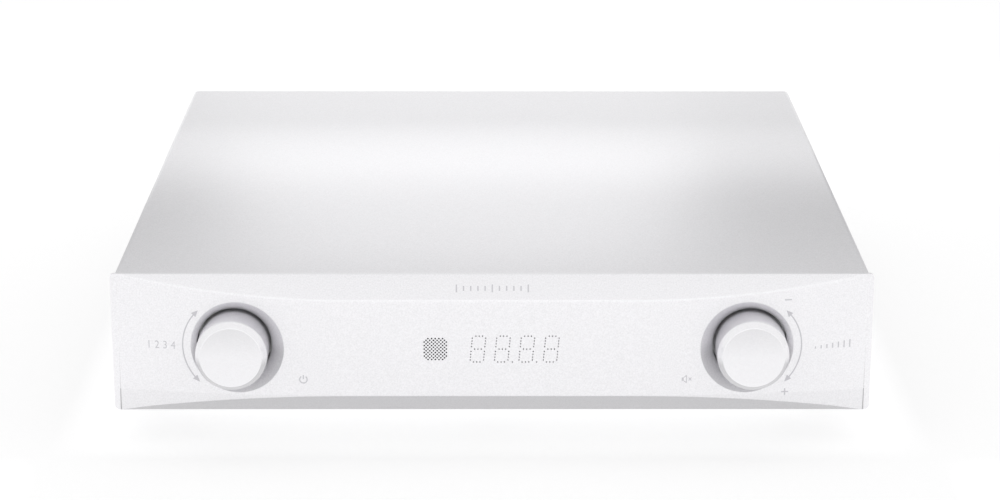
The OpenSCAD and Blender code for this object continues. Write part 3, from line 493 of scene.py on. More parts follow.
def soft_rubber(name, colour):
    """Rubber: dull, slightly bloomed, with a coarse skin."""
    finish = Finish(name)
    skin = finish.noise(0.5 * MM, detail=4, rough=0.65)
    bloom = finish.noise(6 * MM, detail=3)
    pale = tuple(c + 0.05 for c in colour)
    return finish.dressed(finish.blend((bloom - 0.35).clip() * 1.4, colour, pale),
                          skin * 0.15 + 0.72, skin, 0.05 * MM, 0.7)


def powder_coat(name, colour):
    """Powder-coated steel: orange peel over a fine mottle."""
    finish = Finish(name, Metallic=0.35)
    peel = finish.noise(0.9 * MM, detail=2, rough=0.45)
    mottle = finish.noise(0.2 * MM, detail=1)
    return finish.dressed(finish.blend(mottle * 0.7 + peel * 0.3, tint(colour, 0.85), tint(colour, 1.12)),
                          peel * 0.12 + 0.42, peel, 0.02 * MM, 0.7)


def printed_ink(name, colour):
    """Pad-printed ink: matt, with a slightly uneven edge to its tone."""
    finish = Finish(name)
    cover = finish.noise(0.4 * MM, detail=3)
    return finish.dressed(finish.blend(cover, tint(colour, 0.92), tint(colour, 1.08)), cover * 0.1 + 0.5)


def circuit_board(name, mask):
    """Solder mask over copper tracks, with pale printed outlines."""
    finish = Finish(name)
    tracks = finish.add("ShaderNodeTexBrick", {"offset": 0.5}, {
        "Vector": finish.place(Scale=(110.0, 90.0, 1.0)), "Color1": (0.0, 0.0, 0.0, 1.0),
        "Color2": (0.35, 0.35, 0.35, 1.0), "Mortar": (1.0, 1.0, 1.0, 1.0), "Scale": 1.0, "Mortar Size": 0.03})
    glass = finish.noise(0.7 * MM, detail=2)
    base = finish.blend(glass, tint(mask, 0.8), tint(mask, 1.15))
    return finish.dressed(finish.blend(tracks * 0.5, base, tint(mask, 2.2)),
                          glass * 0.1 + 0.28, tracks, 0.03 * MM, 0.6)


def wound_copper(name, axis):
    """Enamelled wire under clear tape: turns that fan out from the axis, (x, y)."""
    finish = Finish(name, Metallic=0.75)
    centred = finish.place(Location=(-axis[0], -axis[1], 0.0))
    parts = finish.add("ShaderNodeSeparateXYZ", sockets={"Vector": centred})
    angle = parts.out("Y").math("ARCTAN2", parts.out("X"))
    turns = (angle * 90.0).math("SINE") * 0.5 + 0.5
    age = finish.noise(8 * MM, detail=3)
    return finish.dressed(finish.blend(turns * 0.7 + age * 0.3, (0.20, 0.08, 0.03), (0.78, 0.40, 0.16)),
                          turns * 0.15 + 0.28, turns, 0.4 * MM, 0.8)


def striped_cable(name, edge_x, ribbon_w):
    """Flat cable: parallel conductors, with one red edge."""
    finish = Finish(name)
    across = finish.along("X", edge_x)
    lanes = (across * (2 * math.pi / (1.27 * MM))).math("SINE") * 0.5 + 0.5
    grey = finish.blend(lanes, (0.36, 0.37, 0.39), (0.62, 0.63, 0.66))
    return finish.dressed(finish.blend(across > ribbon_w - 1.3 * MM, grey, (0.5, 0.04, 0.04)),
                          lanes * 0.1 + 0.42, lanes, 0.25 * MM, 0.7)


def can_sleeve(name, gap):
    """Shrunk sleeve of a capacitor: dark blue with a pale band of dashes."""
    finish = Finish(name)
    dash = (finish.along("Z") * (2 * math.pi / gap)).math("SINE") > 0.5
    shrink = finish.noise(2.0 * MM, detail=3)
    blue = finish.blend(shrink, (0.012, 0.016, 0.07), (0.03, 0.04, 0.14))
    return finish.dressed(finish.blend(dash * 0.25, blue, (0.5, 0.52, 0.55)),
                          shrink * 0.15 + 0.25, shrink, 0.05 * MM, 0.5)


def clear_glass(name):
    """The fuse's glass body and its end caps, told apart by their place along X."""
    finish = Finish(name, IOR=1.5)
    lo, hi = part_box("mains_fuse")
    caps = abs(finish.along("X", (lo.x + hi.x) / 2)) > (hi.x - lo.x) / 2 - 5.0 * MM
    haze = finish.noise(1.5 * MM, detail=2)
    return finish.dressed(finish.blend(caps, (0.75, 0.82, 0.84), (0.72, 0.70, 0.66)),
                          haze * 0.08 + 0.08, Metallic=caps * 1.0)


def channel_rings(name, split_z):
    """The signal sockets' insulators: white in the upper row, red in the lower one."""
    finish = Finish(name)
    upper = finish.along("Z") > split_z
    grain = finish.noise(0.3 * MM, detail=2)
    red = finish.blend(grain, (0.42, 0.015, 0.015), (0.58, 0.03, 0.03))
    white = finish.blend(grain, (0.74, 0.74, 0.71), (0.86, 0.86, 0.84))
    return finish.dressed(finish.blend(upper, red, white), grain * 0.1 + 0.38, grain, 0.01 * MM, 0.5)


SILVER = (0.874, 0.868, 0.887)
torus_lo, torus_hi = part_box("transformer")
ribbon_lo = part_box("ribbon_cable")[0]
RIBBON_W = 12 * MM

# Painted shade darkens the plate's low downward faces and the knobs' downward faces.
plate_finish = blasted_aluminium("front_plate_aluminium", SILVER, 0.40, painted_shade=0.32,
                                 painted_shade_below=PLATE_Z + BULGE + 0.4 * MM)
cover_finish = blasted_aluminium("cover_aluminium", tint(SILVER, 0.99), 0.33)
knob_finish = blasted_aluminium("knob_aluminium", tint(SILVER, 1.01), 0.22, 0.2, painted_shade=0.26, turn=0.2)
foot_finish = blasted_aluminium("foot_aluminium", tint(SILVER, 0.9), 0.4)
rear_finish = blasted_aluminium("rear_aluminium", tint(SILVER, 0.93), 0.42)
pad_finish = soft_rubber("pad_rubber", (0.018, 0.018, 0.018))
tray_finish = powder_coat("tray_coat", (0.34, 0.34, 0.35))
black_screw_finish = turned_metal("blackened_screw", (0.055, 0.055, 0.06), 0.38)
bright_screw_finish = plated("bright_screw", (0.72, 0.71, 0.7), 0.22)
shaft_finish = turned_metal("shaft_steel", (0.62, 0.62, 0.63), 0.28)
black_finish = moulded_plastic("black_plastic", (0.014, 0.014, 0.015))
rocker_finish = moulded_plastic("rocker_plastic", (0.02, 0.02, 0.021), 0.32, 0.4 * MM, 0.01 * MM)
red_finish = moulded_plastic("red_plastic", (0.42, 0.012, 0.012), 0.34)
white_finish = moulded_plastic("white_plastic", (0.7, 0.7, 0.66), 0.42)
green_finish = circuit_board("green_board", (0.012, 0.11, 0.045))
gold_finish = plated("gold_plate", (0.86, 0.62, 0.27))
nickel_finish = plated("nickel_plate", (0.66, 0.64, 0.6), 0.2)
glass_finish = clear_glass("fuse_glass")
copper_finish = wound_copper("copper_winding", ((torus_lo.x + torus_hi.x) / 2, (torus_lo.y + torus_hi.y) / 2))
sleeve_finish = can_sleeve("can_sleeve", 6 * MM)
bare_finish = turned_metal("bare_aluminium", (0.74, 0.74, 0.75), 0.34)
cable_finish = striped_cable("flat_cable", ribbon_lo.x, RIBBON_W)
lead_finish = moulded_plastic("lead_insulation", (0.4, 0.02, 0.02), 0.4)
insulator_finish = channel_rings("socket_insulator", MID_Z)
ink_finish = printed_ink("grey_ink", (0.58, 0.57, 0.60))
rear_ink_finish = printed_ink("dark_ink", (0.06, 0.06, 0.065))


# ---- front plate

SECTION_SOFT = 0.42 * MM      # how far each softened corner of the section reaches
STATIONS = 260
POCKET_HALF = (26.5 * MM, 10 * MM)      # half the display's pocket, across and up
STEP_UP = 0.15 * MM           # the step's clearance over the tray
STEP_DOWN = 2.15 * MM         # and under the cover's outside
OVERRUN = 1 * MM


def plate_section():
    """The plate's section as a loop: each point's corner, its lean with the bow, and its rounding."""
    top = PLATE_Z + PLATE_H
    # corner (y, z), then: on the front, lean along y and z for each metre of bow
    corners = [((LIP_Y + LIP_T, PLATE_Z), (0, 0, 0)), ((LIP_Y, PLATE_Z), (1, 0, 0)),
               ((LIP_Y, PLATE_Z), (1, -1, 1)), ((LIP_Y, top), (1, -1, -1)),
               ((LIP_Y, top), (1, 0, 0)), ((LIP_Y + LIP_T, top), (0, 0, 0))]
    full = [(y + lean[1] * BULGE, z + lean[2] * BULGE) for (y, z), lean in corners]
    mesh = bpy.data.meshes.new("section")
    points, leans, softs = [], [], []
    for i, (corner, lean) in enumerate(corners):
        if not lean[0]:
            points.append((0, *corner))
            leans.append(lean)
            softs.append((0, 0, 0))
            continue
        trio = [full[i - 1], full[i], full[(i + 1) % len(full)]]
        for y, z in softened(trio, SECTION_SOFT)[1:-1]:
            points.append((0, *corner))
            leans.append(lean)
            softs.append((0, y - full[i][0], z - full[i][1]))
    # a profile lies in its own XY plane, and its points are placed later from what is stored on them
    mesh.from_pydata([(y, z, 0) for _, y, z in points],
                     [(i, (i + 1) % len(points)) for i in range(len(points))], [])
    for label, rows in (("corner", points), ("lean", leans), ("soft", softs)):
        store = mesh.attributes.new(label, "FLOAT_VECTOR", "POINT")
        for i, row in enumerate(rows):
            store.data[i].vector = row
    return mesh


def bowed_plate_graph():
    """Sweeps the section along the plate, then pushes its front out by the bow's rule."""
    graph = ShapeGraph("bowed_plate", {
        "Half Width": "Float", "Middle Height": "Float", "Flat Half": "Float", "Bow Radius": "Float",
        "Bulge": "Float", "Corner Radius": "Float", "Stations": "Int", "Material": "Material"})
    half, corner_r, bow_r = graph.given("Half Width"), graph.given("Corner Radius"), graph.given("Bow Radius")
    start = graph.add("ShaderNodeCombineXYZ", sockets={"X": 0.0 - half})
    end = graph.add("ShaderNodeCombineXYZ", sockets={"X": half})
    line = graph.add("GeometryNodeCurvePrimitiveLine", sockets={"Start": start, "End": end})
    path = graph.add("GeometryNodeResampleCurve", {"mode": "COUNT"}, {
        "Curve": line, "Count": graph.given("Stations")})
    section = graph.add("GeometryNodeMeshToCurve", sockets={"Mesh": graph.given("Geometry")})
    swept = graph.add("GeometryNodeCurveToMesh", sockets={
        "Curve": path, "Profile Curve": section, "Fill Caps": True})

    def stored(label):
        vector = graph.add("GeometryNodeInputNamedAttribute", {"data_type": "FLOAT_VECTOR"}, {"Name": label})
        return graph.add("ShaderNodeSeparateXYZ", sockets={"Vector": vector})

    corner, lean, soft = stored("corner"), stored("lean"), stored("soft")
    along = graph.add("ShaderNodeSeparateXYZ", sockets={
        "Vector": graph.add("GeometryNodeInputPosition")}).out("X")
    x = (along / half * (math.pi / 2)).math("SINE") * half     # stations crowd towards both ends
    past = (abs(x) - graph.given("Flat Half")).math("MAXIMUM", 0.0)
    ahead = graph.given("Bulge") - bow_r + (bow_r * bow_r - past * past).math("SQRT")
    forward = ahead.math("MAXIMUM", 0.0)
    behind = (ahead * -1.0).math("MAXIMUM", 0.0)
    rounding = (forward / (4 * SECTION_SOFT)).math("MINIMUM", 1.0)
    into_corner = (corner_r - half + abs(x)).math("MAXIMUM", 0.0)
    inset = corner_r - (corner_r * corner_r - into_corner * into_corner).math("MAXIMUM", 0.0).math("SQRT")
    inwards = (graph.given("Middle Height") - corner.out("Z")).math("SIGN")
    y = corner.out("Y") + lean.out("Y") * forward + lean.out("X") * behind + soft.out("Y") * rounding
    z = corner.out("Z") + lean.out("Z") * forward + soft.out("Z") * rounding + inwards * inset
    moved = graph.add("GeometryNodeSetPosition", sockets={
        "Geometry": swept, "Position": graph.add("ShaderNodeCombineXYZ", sockets={"X": x, "Y": y, "Z": z})})
    whole = graph.add("GeometryNodeMergeByDistance", sockets={"Geometry": moved, "Distance": 2e-6})
    graph.close(whole)
    return graph


DISH_SIDES = 192


def dish_cutter(centre_x):
    """The hole and dish round a knob, with a fine chamfer that follows the bowed face."""
    hole_y = face_y(centre_x) + DISH_DEPTH
    ease = 0.07 * MM
    rings = [ring_y(KNOB_HOLE_R + wider, y, centre_x, MID_Z, DISH_SIDES) for wider, y in (
        (0, STEP_Y + OVERRUN), (0, hole_y + ease), (0.3 * ease, hole_y - 0.1 * ease),
        (DISH_SLOPE * ease, hole_y - ease))]
    rims = [[], [], []]
    for a in around(DISH_SIDES):
        r = KNOB_HOLE_R
        for _ in range(12):
            r = KNOB_HOLE_R + DISH_SLOPE * (hole_y - face_y(centre_x + r * math.cos(a)))
        deep, wide = r - DISH_SLOPE * ease, r + 0.7 * ease
        spots = [(deep, hole_y - (deep - KNOB_HOLE_R) / DISH_SLOPE),
                 (wide, face_y(centre_x + wide * math.cos(a))),
                 (wide + 3 * MM, face_y(centre_x + wide * math.cos(a)) - 2.2 * MM)]
        for rim, (radius, y) in zip(rims, spots):
            rim.append((centre_x + radius * math.cos(a), y, MID_Z + radius * math.sin(a)))
    return loft(rings + rims)


def dot_places():
    """Where the face is drilled: the dots of four digits and two points, then the receiver's window."""
    reach = DIGIT_H / 2
    dots = [(k * 1.02 * MM, row * reach) for row in (-1, 0, 1) for k in (-1, 0, 1)]
    dots += [(side * DIGIT_HALF, half * (0.78 * MM + k * (reach - 1.44 * MM) / 3))
             for side in (-1, 1) for half in (-1, 1) for k in range(4)]
    first = [DIGIT_FIRST + i * DIGIT_PITCH for i in range(4)]
    digits = [(u + x + z * DIGIT_LEAN, MID_Z + z) for u in first for x, z in dots]
    digits += [(u + 3.05 * MM, MID_Z - reach) for u in first[1:3]]
    window = []
    for row in range(-MESH_ROWS, MESH_ROWS + 1):
        count = 5 if abs(row) == MESH_ROWS else (6 if row % 2 else 7)
        window += [(MESH_X + (k - (count - 1) / 2) * MESH_PITCH, MID_Z + row * MESH_PITCH / 2)
                   for k in range(count)]
    return digits, window


def drill_graph():
    """A drill on every point, along Y."""
    graph = ShapeGraph("face_drills", {"Diameter": "Float", "Length": "Float", "Material": "Material"})
    drill = graph.add("GeometryNodeMeshCylinder", {"fill_type": "NGON"}, {
        "Vertices": 14, "Radius": graph.given("Diameter") * 0.5, "Depth": graph.given("Length")})
    upright = graph.add("GeometryNodeInstanceOnPoints", sockets={
        "Points": graph.given("Geometry"), "Instance": drill, "Rotation": (math.pi / 2, 0.0, 0.0)})
    graph.close(upright)
    return graph


def drills(graph, places, diameter, centre_y, length):
    seeds = bpy.data.meshes.new("seeds")
    seeds.from_pydata([(x, centre_y, z) for x, z in places], [], [])
    return grown(graph, seeds, {"Diameter": diameter, "Length": length, "Material": plate_finish})


def front_plate():
    plate = grown(bowed_plate_graph(), plate_section(), {
        "Half Width": HALF_W, "Middle Height": MID_Z, "Flat Half": FLAT_HALF, "Bow Radius": BOW_R,
        "Bulge": BULGE, "Corner Radius": CORNER_R, "Stations": STATIONS, "Material": plate_finish})
    plate = tidied(plate, 1e-6)
    step = bar((tray_lo.x, LIP_Y + 0.5 * LIP_T, rear_lo.z + STEP_UP),
               (tray_hi.x, STEP_Y, cover_hi.z - STEP_DOWN))
    plate = carved(plate, step, "UNION")
    for side in (-1, 1):
        plate = carved(plate, dish_cutter(side * KNOB_X))
    skin_y = LIP_Y - BULGE + SKIN_T
    across, up = POCKET_HALF
    plate = carved(plate, bar((-across, skin_y, MID_Z - up), (across, STEP_Y + OVERRUN, MID_Z + up)))
    graph = drill_graph()
    digits, window = dot_places()
    for places, diameter in ((digits, DOT_D), (window, MESH_D)):
        plate = carved(plate, drills(graph, places, diameter, skin_y - SKIN_T / 2, 3 * SKIN_T))
    piece("front_plate", shaded(plate, 28), plate_finish, "case", "face_aluminium", "front_panel")


front_plate()


# ---- knobs

BEVEL_W = 1.5 * MM
BEVEL_L = 2.0 * MM
FACE_HOLLOW = 0.45 * MM
KNOB_WALL = 2 * MM
KNOB_WEB = 4.5 * MM           # the face's thickness inside the skirt
BOSS_R = 5 * MM
BOSS_IN = 4 * MM              # how far the boss stays in from the skirt's end
SHAFT_R = 3 * MM
SHAFT_IN = 4 * MM             # the end of the shaft's bore, behind the face


def knob(name, x, body):
    """A turned cap knob: a hollow face, an eased bevel and a thin skirt."""
    face_r = KNOB_R - BEVEL_W
    skirt_y = knob_hi.y
    inner_r = KNOB_R - KNOB_WALL
    hollow = [(face_r * t, KNOB_Y + FACE_HOLLOW * (1 - t * t)) for t in [k / 24 for k in range(24)]]
    rim = softened([hollow[-1], (face_r, KNOB_Y), (KNOB_R, KNOB_Y + BEVEL_L),
                    (KNOB_R, skirt_y), (inner_r, skirt_y), (inner_r, KNOB_Y + KNOB_WEB)], 0.22 * MM, 5)[1:]
    back = [(BOSS_R, KNOB_Y + KNOB_WEB), (BOSS_R, skirt_y - BOSS_IN), (SHAFT_R, skirt_y - BOSS_IN),
            (SHAFT_R, KNOB_Y + SHAFT_IN), (0, KNOB_Y + SHAFT_IN)]
    mesh = turned_y(hollow + rim + back, x, MID_Z, 192)
    piece(name + "_cap", shaded(mesh), knob_finish, body, "knob_aluminium", name)


knob("input_knob", -KNOB_X, "input_turn")
knob("volume_knob", KNOB_X, "volume_turn")


# ---- cover and screws

COVER_R = 1.8 * MM
COVER_T = 2.0 * MM
SCREW_R = 1.5 * MM
HEAD_R = 2.8 * MM
SCREW_Z = cover_lo.z + 6 * MM
SCREW_Y = (CASE_Y + 30 * MM, (CASE_Y + REAR_Y) / 2, REAR_Y - 22 * MM)


def folded_cover():
    """The folded sheet: its outline softened at both long edges and run to the back, then countersunk."""
    half, low, high = cover_hi.x, cover_lo.z, cover_hi.z
    turn = [k * math.pi / 20 for k in range(11)]
    outer_r, inner_r = COVER_R, 0.4 * MM

    def arcs(half_w, top, r):
        right = [(half_w - r + r * math.cos(a), top - r + r * math.sin(a)) for a in turn]
        return right + [(-x, z) for x, z in reversed(right)]

    outline = [(half, low)] + arcs(half, high, outer_r) + [(-half, low), (-half + COVER_T, low)]
    outline += list(reversed(arcs(half - COVER_T, high - COVER_T, inner_r))) + [(half - COVER_T, low)]
    points = [(x, y, z) for y in (CASE_Y, REAR_Y) for x, z in outline]
    n = len(outline)
    faces = [(k, (k + 1) % n, n + (k + 1) % n, n + k) for k in range(n)]
    faces += [tuple(range(n)), tuple(range(2 * n - 1, n - 1, -1))]
    sheet = edged(mesh_from(points, faces), 0.14 * MM)
    for side in (-1, 1):
        for y in SCREW_Y:
            sheet = carved(sheet, sunk_cutter(side, y))
    piece("folded_cover", shaded(sheet), cover_finish, "case", "case_aluminium", "top_cover")


def aimed(mesh, side, y):
    """Turns a shape made along +Z so that it points out of a side wall."""
    turn = Matrix.Rotation(side * math.pi / 2, 4, "Y")
    mesh.transform(Matrix.Translation((side * cover_hi.x, y, SCREW_Z)) @ turn)
    return mesh


SCREW_SIDES = 48


def circle(r, z):
    return [(r * math.cos(a), r * math.sin(a), z) for a in around(SCREW_SIDES)]


def hexagon(r, z):
    """A hexagon with as many points as a circle."""
    sixth = math.pi / 3
    ring = []
    for a in around(SCREW_SIDES):
        reach = r * math.cos(sixth / 2) / math.cos((a + sixth / 2) % sixth - sixth / 2)
        ring.append((reach * math.cos(a), reach * math.sin(a), z))
    return ring


def sunk_cutter(side, y):
    """The countersunk hole of a cover screw."""
    rows = [(SCREW_R + 0.1 * MM, -3 * MM), (SCREW_R + 0.1 * MM, -(HEAD_R - SCREW_R)),
            (HEAD_R + 0.05 * MM, -0.05 * MM), (HEAD_R + 0.15 * MM, 0.02 * MM), (HEAD_R + 0.15 * MM, 1 * MM)]
    return aimed(loft([circle(r, z) for r, z in rows]), side, y)


def hex_screw(head, key_r, key_depth, shank):
    """A screw along +Z with a hexagon socket; head is its outline from the shank to its top rim."""
    top = head[-1][1]
    rings = [circle(0.0001 * MM, -shank), circle(SCREW_R * 0.7, -shank), circle(SCREW_R, -shank + 0.5 * MM)]
    rings += [circle(r, z) for r, z in head]
    rings += [circle(key_r * 1.12, top), hexagon(key_r, top - 0.12 * MM), hexagon(key_r, top - key_depth),
              hexagon(key_r * 0.2, top - key_depth - 0.3 * MM)]
    return loft(rings)


def screw_graph():
    """One screw on every point, its axis along the stored aim."""
    graph = ShapeGraph("set_screws", {"Screw": "Object", "Material": "Material"})
    aim = graph.add("GeometryNodeInputNamedAttribute", {"data_type": "FLOAT_VECTOR"}, {"Name": "aim"})
    turn = graph.add("FunctionNodeAlignRotationToVector", {"axis": "Z"}, {"Vector": aim})
    screw = graph.add("GeometryNodeObjectInfo", sockets={"Object": graph.given("Screw")}, out="Geometry")
    graph.close(graph.add("GeometryNodeInstanceOnPoints", sockets={
        "Points": graph.given("Geometry"), "Instance": screw, "Rotation": turn}))
    return graph


def screw_set(name, places, aims, template, finish, slot, node):
    seeds = bpy.data.meshes.new("seeds")
    seeds.from_pydata(places, [], [])
    store = seeds.attributes.new("aim", "FLOAT_VECTOR", "POINT")
    for i, aim in enumerate(aims):
        store.data[i].vector = aim
    pattern = placed("pattern", template)
    mesh = grown(SCREW_GRAPH, seeds, {"Screw": pattern, "Material": finish})
    bpy.data.objects.remove(pattern)
    piece(name, shaded(mesh), finish, "case", slot, node)


SCREW_GRAPH = screw_graph()
folded_cover()

sunk_head = softened([(SCREW_R, -(HEAD_R - SCREW_R)), (HEAD_R, 0.0), (HEAD_R * 0.5, 0.0)], 0.12 * MM, 3)[:-1]
screw_set("side_screws", [(side * cover_hi.x, y, SCREW_Z) for side in (-1, 1) for y in SCREW_Y],
          [(side, 0, 0) for side in (-1, 1) for _ in SCREW_Y],
          hex_screw(sunk_head, 1.15 * MM, 0.9 * MM, 4.5 * MM), bright_screw_finish,
          "bright_screw", "cover_screws")


# ---- feet

foot_lo, foot_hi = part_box("feet")
FOOT_R = 13 * MM
FOOT_X = foot_hi.x - FOOT_R
FOOT_Y = (foot_lo.y + FOOT_R, foot_hi.y - FOOT_R)
FOOT_PLACES = [(x, y) for x in (-FOOT_X, FOOT_X) for y in FOOT_Y]
PAD_T = 2.4 * MM
PAD_BORE = 5 * MM
HEAD_CAP_R = 2.75 * MM
FOOT_SEAT = PLATE_Z - 3.6 * MM
FOOT_BORE = 4.5 * MM


def foot_shell(x, y):
    """A turned foot: a groove round its waist and an eased rim over the pad."""
    low, high, wall = foot_lo.z, foot_hi.z, FOOT_R - 2.5 * MM
    waist = (low + high) / 2
    outside = softened([(wall, PAD_T), (wall, low), (FOOT_R, low), (FOOT_R, waist - 0.5 * MM),
                        (FOOT_R - 0.5 * MM, waist - 0.25 * MM), (FOOT_R - 0.5 * MM, waist + 0.25 * MM),
                        (FOOT_R, waist + 0.5 * MM), (FOOT_R, high), (SCREW_R, high)], 0.5 * MM, 4)
    outline = outside + [(SCREW_R, FOOT_SEAT), (FOOT_BORE, FOOT_SEAT), (FOOT_BORE, PAD_T)]
    return turned_ring(outline, x, y)


def foot_pad(x, y):
    wall = FOOT_R - 2.6 * MM
    corners = [(PAD_BORE, 0.0), (wall, 0.0), (wall, PAD_T), (PAD_BORE, PAD_T)]
    return turned_ring(softened(corners, 0.35 * MM, 3, closed=True), x, y, 72)


piece("turned_feet", shaded(joined([foot_shell(x, y) for x, y in FOOT_PLACES])), foot_finish,
      "case", "foot_aluminium", "feet")
piece("rubber_pads", shaded(joined([foot_pad(x, y) for x, y in FOOT_PLACES])), pad_finish,
      "case", "pad_rubber", "foot_pads")
cap_head = softened([(SCREW_R, 0.0), (HEAD_CAP_R, 0.0), (HEAD_CAP_R, 2 * MM), (1.9 * MM, 2 * MM)],
                    0.25 * MM, 3)[:-1]
screw_set("foot_bolts", [(x, y, FOOT_SEAT) for x, y in FOOT_PLACES], [(0, 0, -1)] * 4,
          hex_screw(cap_head, 1.4 * MM, 1.2 * MM, 7 * MM), black_screw_finish, "black_screw", "foot_screws")


# ---- eased copies of CAD nodes

# node: (piece, width of the eased edges in mm, finish, body, material slot)
EASED = {
    "base_tray": ("tray", 0.2, tray_finish, "case", "tray_steel"),
    "rear_panel": ("back_plate", 0.15, rear_finish, "case", "rear_aluminium"),
    "floor_screws": ("floor_bolts", 0.15, black_screw_finish, "case", "black_screw"),
    "mains_inlet": ("inlet_shell", 0.3, black_finish, "case", "black_plastic"),
    "inlet_blades": ("inlet_pins", 0.25, nickel_finish, "case", "nickel_plate"),
    "fuse_drawer": ("fuse_tray", 0.2, black_finish, "drawer", "black_plastic"),
    "switch_frame": ("rocker_frame", 0.25, black_finish, "case", "black_plastic"),
    "power_rocker": ("rocker_paddle", 0.3, rocker_finish, "rocker", "black_plastic"),
    "speaker_posts": ("terminal_stems", 0.2, gold_finish, "case", "gold_plate"),
    "post_collars": ("terminal_collars", 0.3, black_finish, "case", "black_plastic"),
    "rca_shells": ("signal_shells", 0.15, gold_finish, "case", "gold_plate"),
    "rca_inserts": ("signal_inserts", 0.2, insulator_finish, "case", "white_plastic"),
    "optical_sockets": ("optical_housings", 0.2, black_finish, "case", "black_plastic"),
    "optical_flap_1": ("optical_door_1", 0.1, rocker_finish, "flap_1", "black_plastic"),
    "optical_flap_2": ("optical_door_2", 0.1, rocker_finish, "flap_2", "black_plastic"),
    "usb_socket": ("usb_shell", 0.15, nickel_finish, "case", "nickel_plate"),
}
for i in range(1, 5):
    EASED[f"post_washer_{i}"] = (f"terminal_washer_{i}", 0.15, gold_finish, f"washer_{i}", "gold_plate")
    odd = i % 2 == 1
    EASED[f"post_cap_{i}"] = (f"terminal_cap_{i}", 0.25, red_finish if odd else black_finish, f"cap_{i}",
                              "red_plastic" if odd else "black_plastic")

for node, (name, width, finish, body, slot) in EASED.items():
    piece(name, shaded(edged(node_copy(node), width * MM)), finish, body, slot, node)


# ---- printed marks

INK_T = 0.02 * MM
INK_SUNK = 0.04 * MM
LINE_W = 0.4 * MM


def strip(left, right):
    """A printed stroke between two lines of equal length, as points (u, v, height)."""
    n = len(left)
    flat = list(left) + list(reversed(right))
    points = [(u, v, h) for h in (-INK_SUNK, INK_T) for u, v in flat]
    count = 2 * n
    faces = []
    for k in range(n - 1):
        faces.append((k, k + 1, count - 2 - k, count - 1 - k))
        faces.append(tuple(count + i for i in reversed(faces[-1])))
    for k in range(count):
        following = (k + 1) % count
        faces.append((k, following, count + following, count + k))
    return mesh_from(points, faces, 1e-8)


def stroke(points, width):
    """A line of even width through points."""
    left, right = [], []
    for i, point in enumerate(points):
        ahead = Vector(points[min(i + 1, len(points) - 1)]) - Vector(points[max(i - 1, 0)])
        across = Vector((-ahead.y, ahead.x)).normalized() * (width / 2)
        left.append(tuple(Vector(point) + across))
        right.append(tuple(Vector(point) - across))
    return strip(left, right)


def arc(centre, radius, first, last, steps=24):
    """Points from one angle to another, in degrees from the right, anticlockwise."""
    turns = [math.radians(first + (last - first) * k / steps) for k in range(steps + 1)]
    return [(centre[0] + radius * math.cos(a), centre[1] + radius * math.sin(a)) for a in turns]


def arrow_head(tip, heading, length, width):
    """A solid triangle; heading is in degrees."""
    ahead = Vector((math.cos(math.radians(heading)), math.sin(math.radians(heading))))
    across = Vector((-ahead.y, ahead.x))
    base = Vector(tip) - ahead * length
    point = Vector(tip)
    return strip([tuple(base + across * width / 2), tuple(point + across * width * 0.02)],
                 [tuple(base - across * width / 2), tuple(point - across * width * 0.02)])


def lettering(words, width, height, centre):
    """Plain block lettering as closed meshes, fitted to a width and a height."""
    curve = bpy.data.curves.new("lettering", "FONT")
    curve.body = words
    curve.size = height
    curve.extrude = (INK_T + INK_SUNK) / 2
    curve.space_character = 1.05
    mesh = baked(placed("lettering", curve))
    low = [min(v.co[k] for v in mesh.vertices) for k in (0, 1)]
    high = [max(v.co[k] for v in mesh.vertices) for k in (0, 1)]
    fit = Matrix.Diagonal((width / (high[0] - low[0]), height / (high[1] - low[1]), 1, 1))
    mesh.transform(Matrix.Translation((*centre, (INK_T - INK_SUNK) / 2)) @ fit
                   @ Matrix.Translation((-(low[0] + high[0]) / 2, -(low[1] + high[1]) / 2, 0)))
    return tidied(mesh, 1e-7)


def printed(name, marks, place, ink):
    """Joins marks drawn flat and lays them on a surface; place turns (u, v, height) into a point."""
    mesh = joined(marks)
    for vertex in mesh.vertices:
        vertex.co = place(*vertex.co)
    piece(name, shaded(tidied(mesh, 1e-8)), ink, "case", "black_screw")


def on_face(u, v, height):
    return u, face_y(u) - height, PLATE_Z + v


def on_top_facet(u, v, height):
    drop = PLATE_H - v
    lift = height / math.sqrt(2)
    return u, LIP_Y - drop - lift, PLATE_Z + v + lift


def on_back(u, v, height):
    """The back is read from behind, so u runs towards -X."""
    return -u, REAR_Y + height, PLATE_Z + v


def power_icon(u, v, r, width):
    return [stroke(arc((u, v), r, 125, 415, 28), width), stroke([(u, v + 0.1 * r), (u, v + 1.25 * r)], width)]


def mute_icon(u, v, s, width):
    """A loudspeaker with a small cross."""
    box_part = strip([(u - s, v + 0.45 * s), (u - 0.45 * s, v + 0.45 * s)],
                     [(u - s, v - 0.45 * s), (u - 0.45 * s, v - 0.45 * s)])
    horn = [stroke([(u - 0.45 * s, v + 0.45 * s), (u + 0.25 * s, v + 1.0 * s)], width),
            stroke([(u - 0.45 * s, v - 0.45 * s), (u + 0.25 * s, v - 1.0 * s)], width),
            stroke([(u + 0.25 * s, v + 1.0 * s), (u + 0.25 * s, v - 1.0 * s)], width)]
    cross = [stroke([(u + 0.8 * s, v + k * 0.4 * s), (u + 1.5 * s, v - k * 0.4 * s)], width) for k in (-1, 1)]
    return [box_part, *horn, *cross]


def sign(u, v, plus, arm=1.1 * MM):
    """A minus, or a plus."""
    bars = [stroke([(u - arm, v), (u + arm, v)], LINE_W)]
    return bars + [stroke([(u, v - arm), (u, v + arm)], LINE_W)] if plus else bars


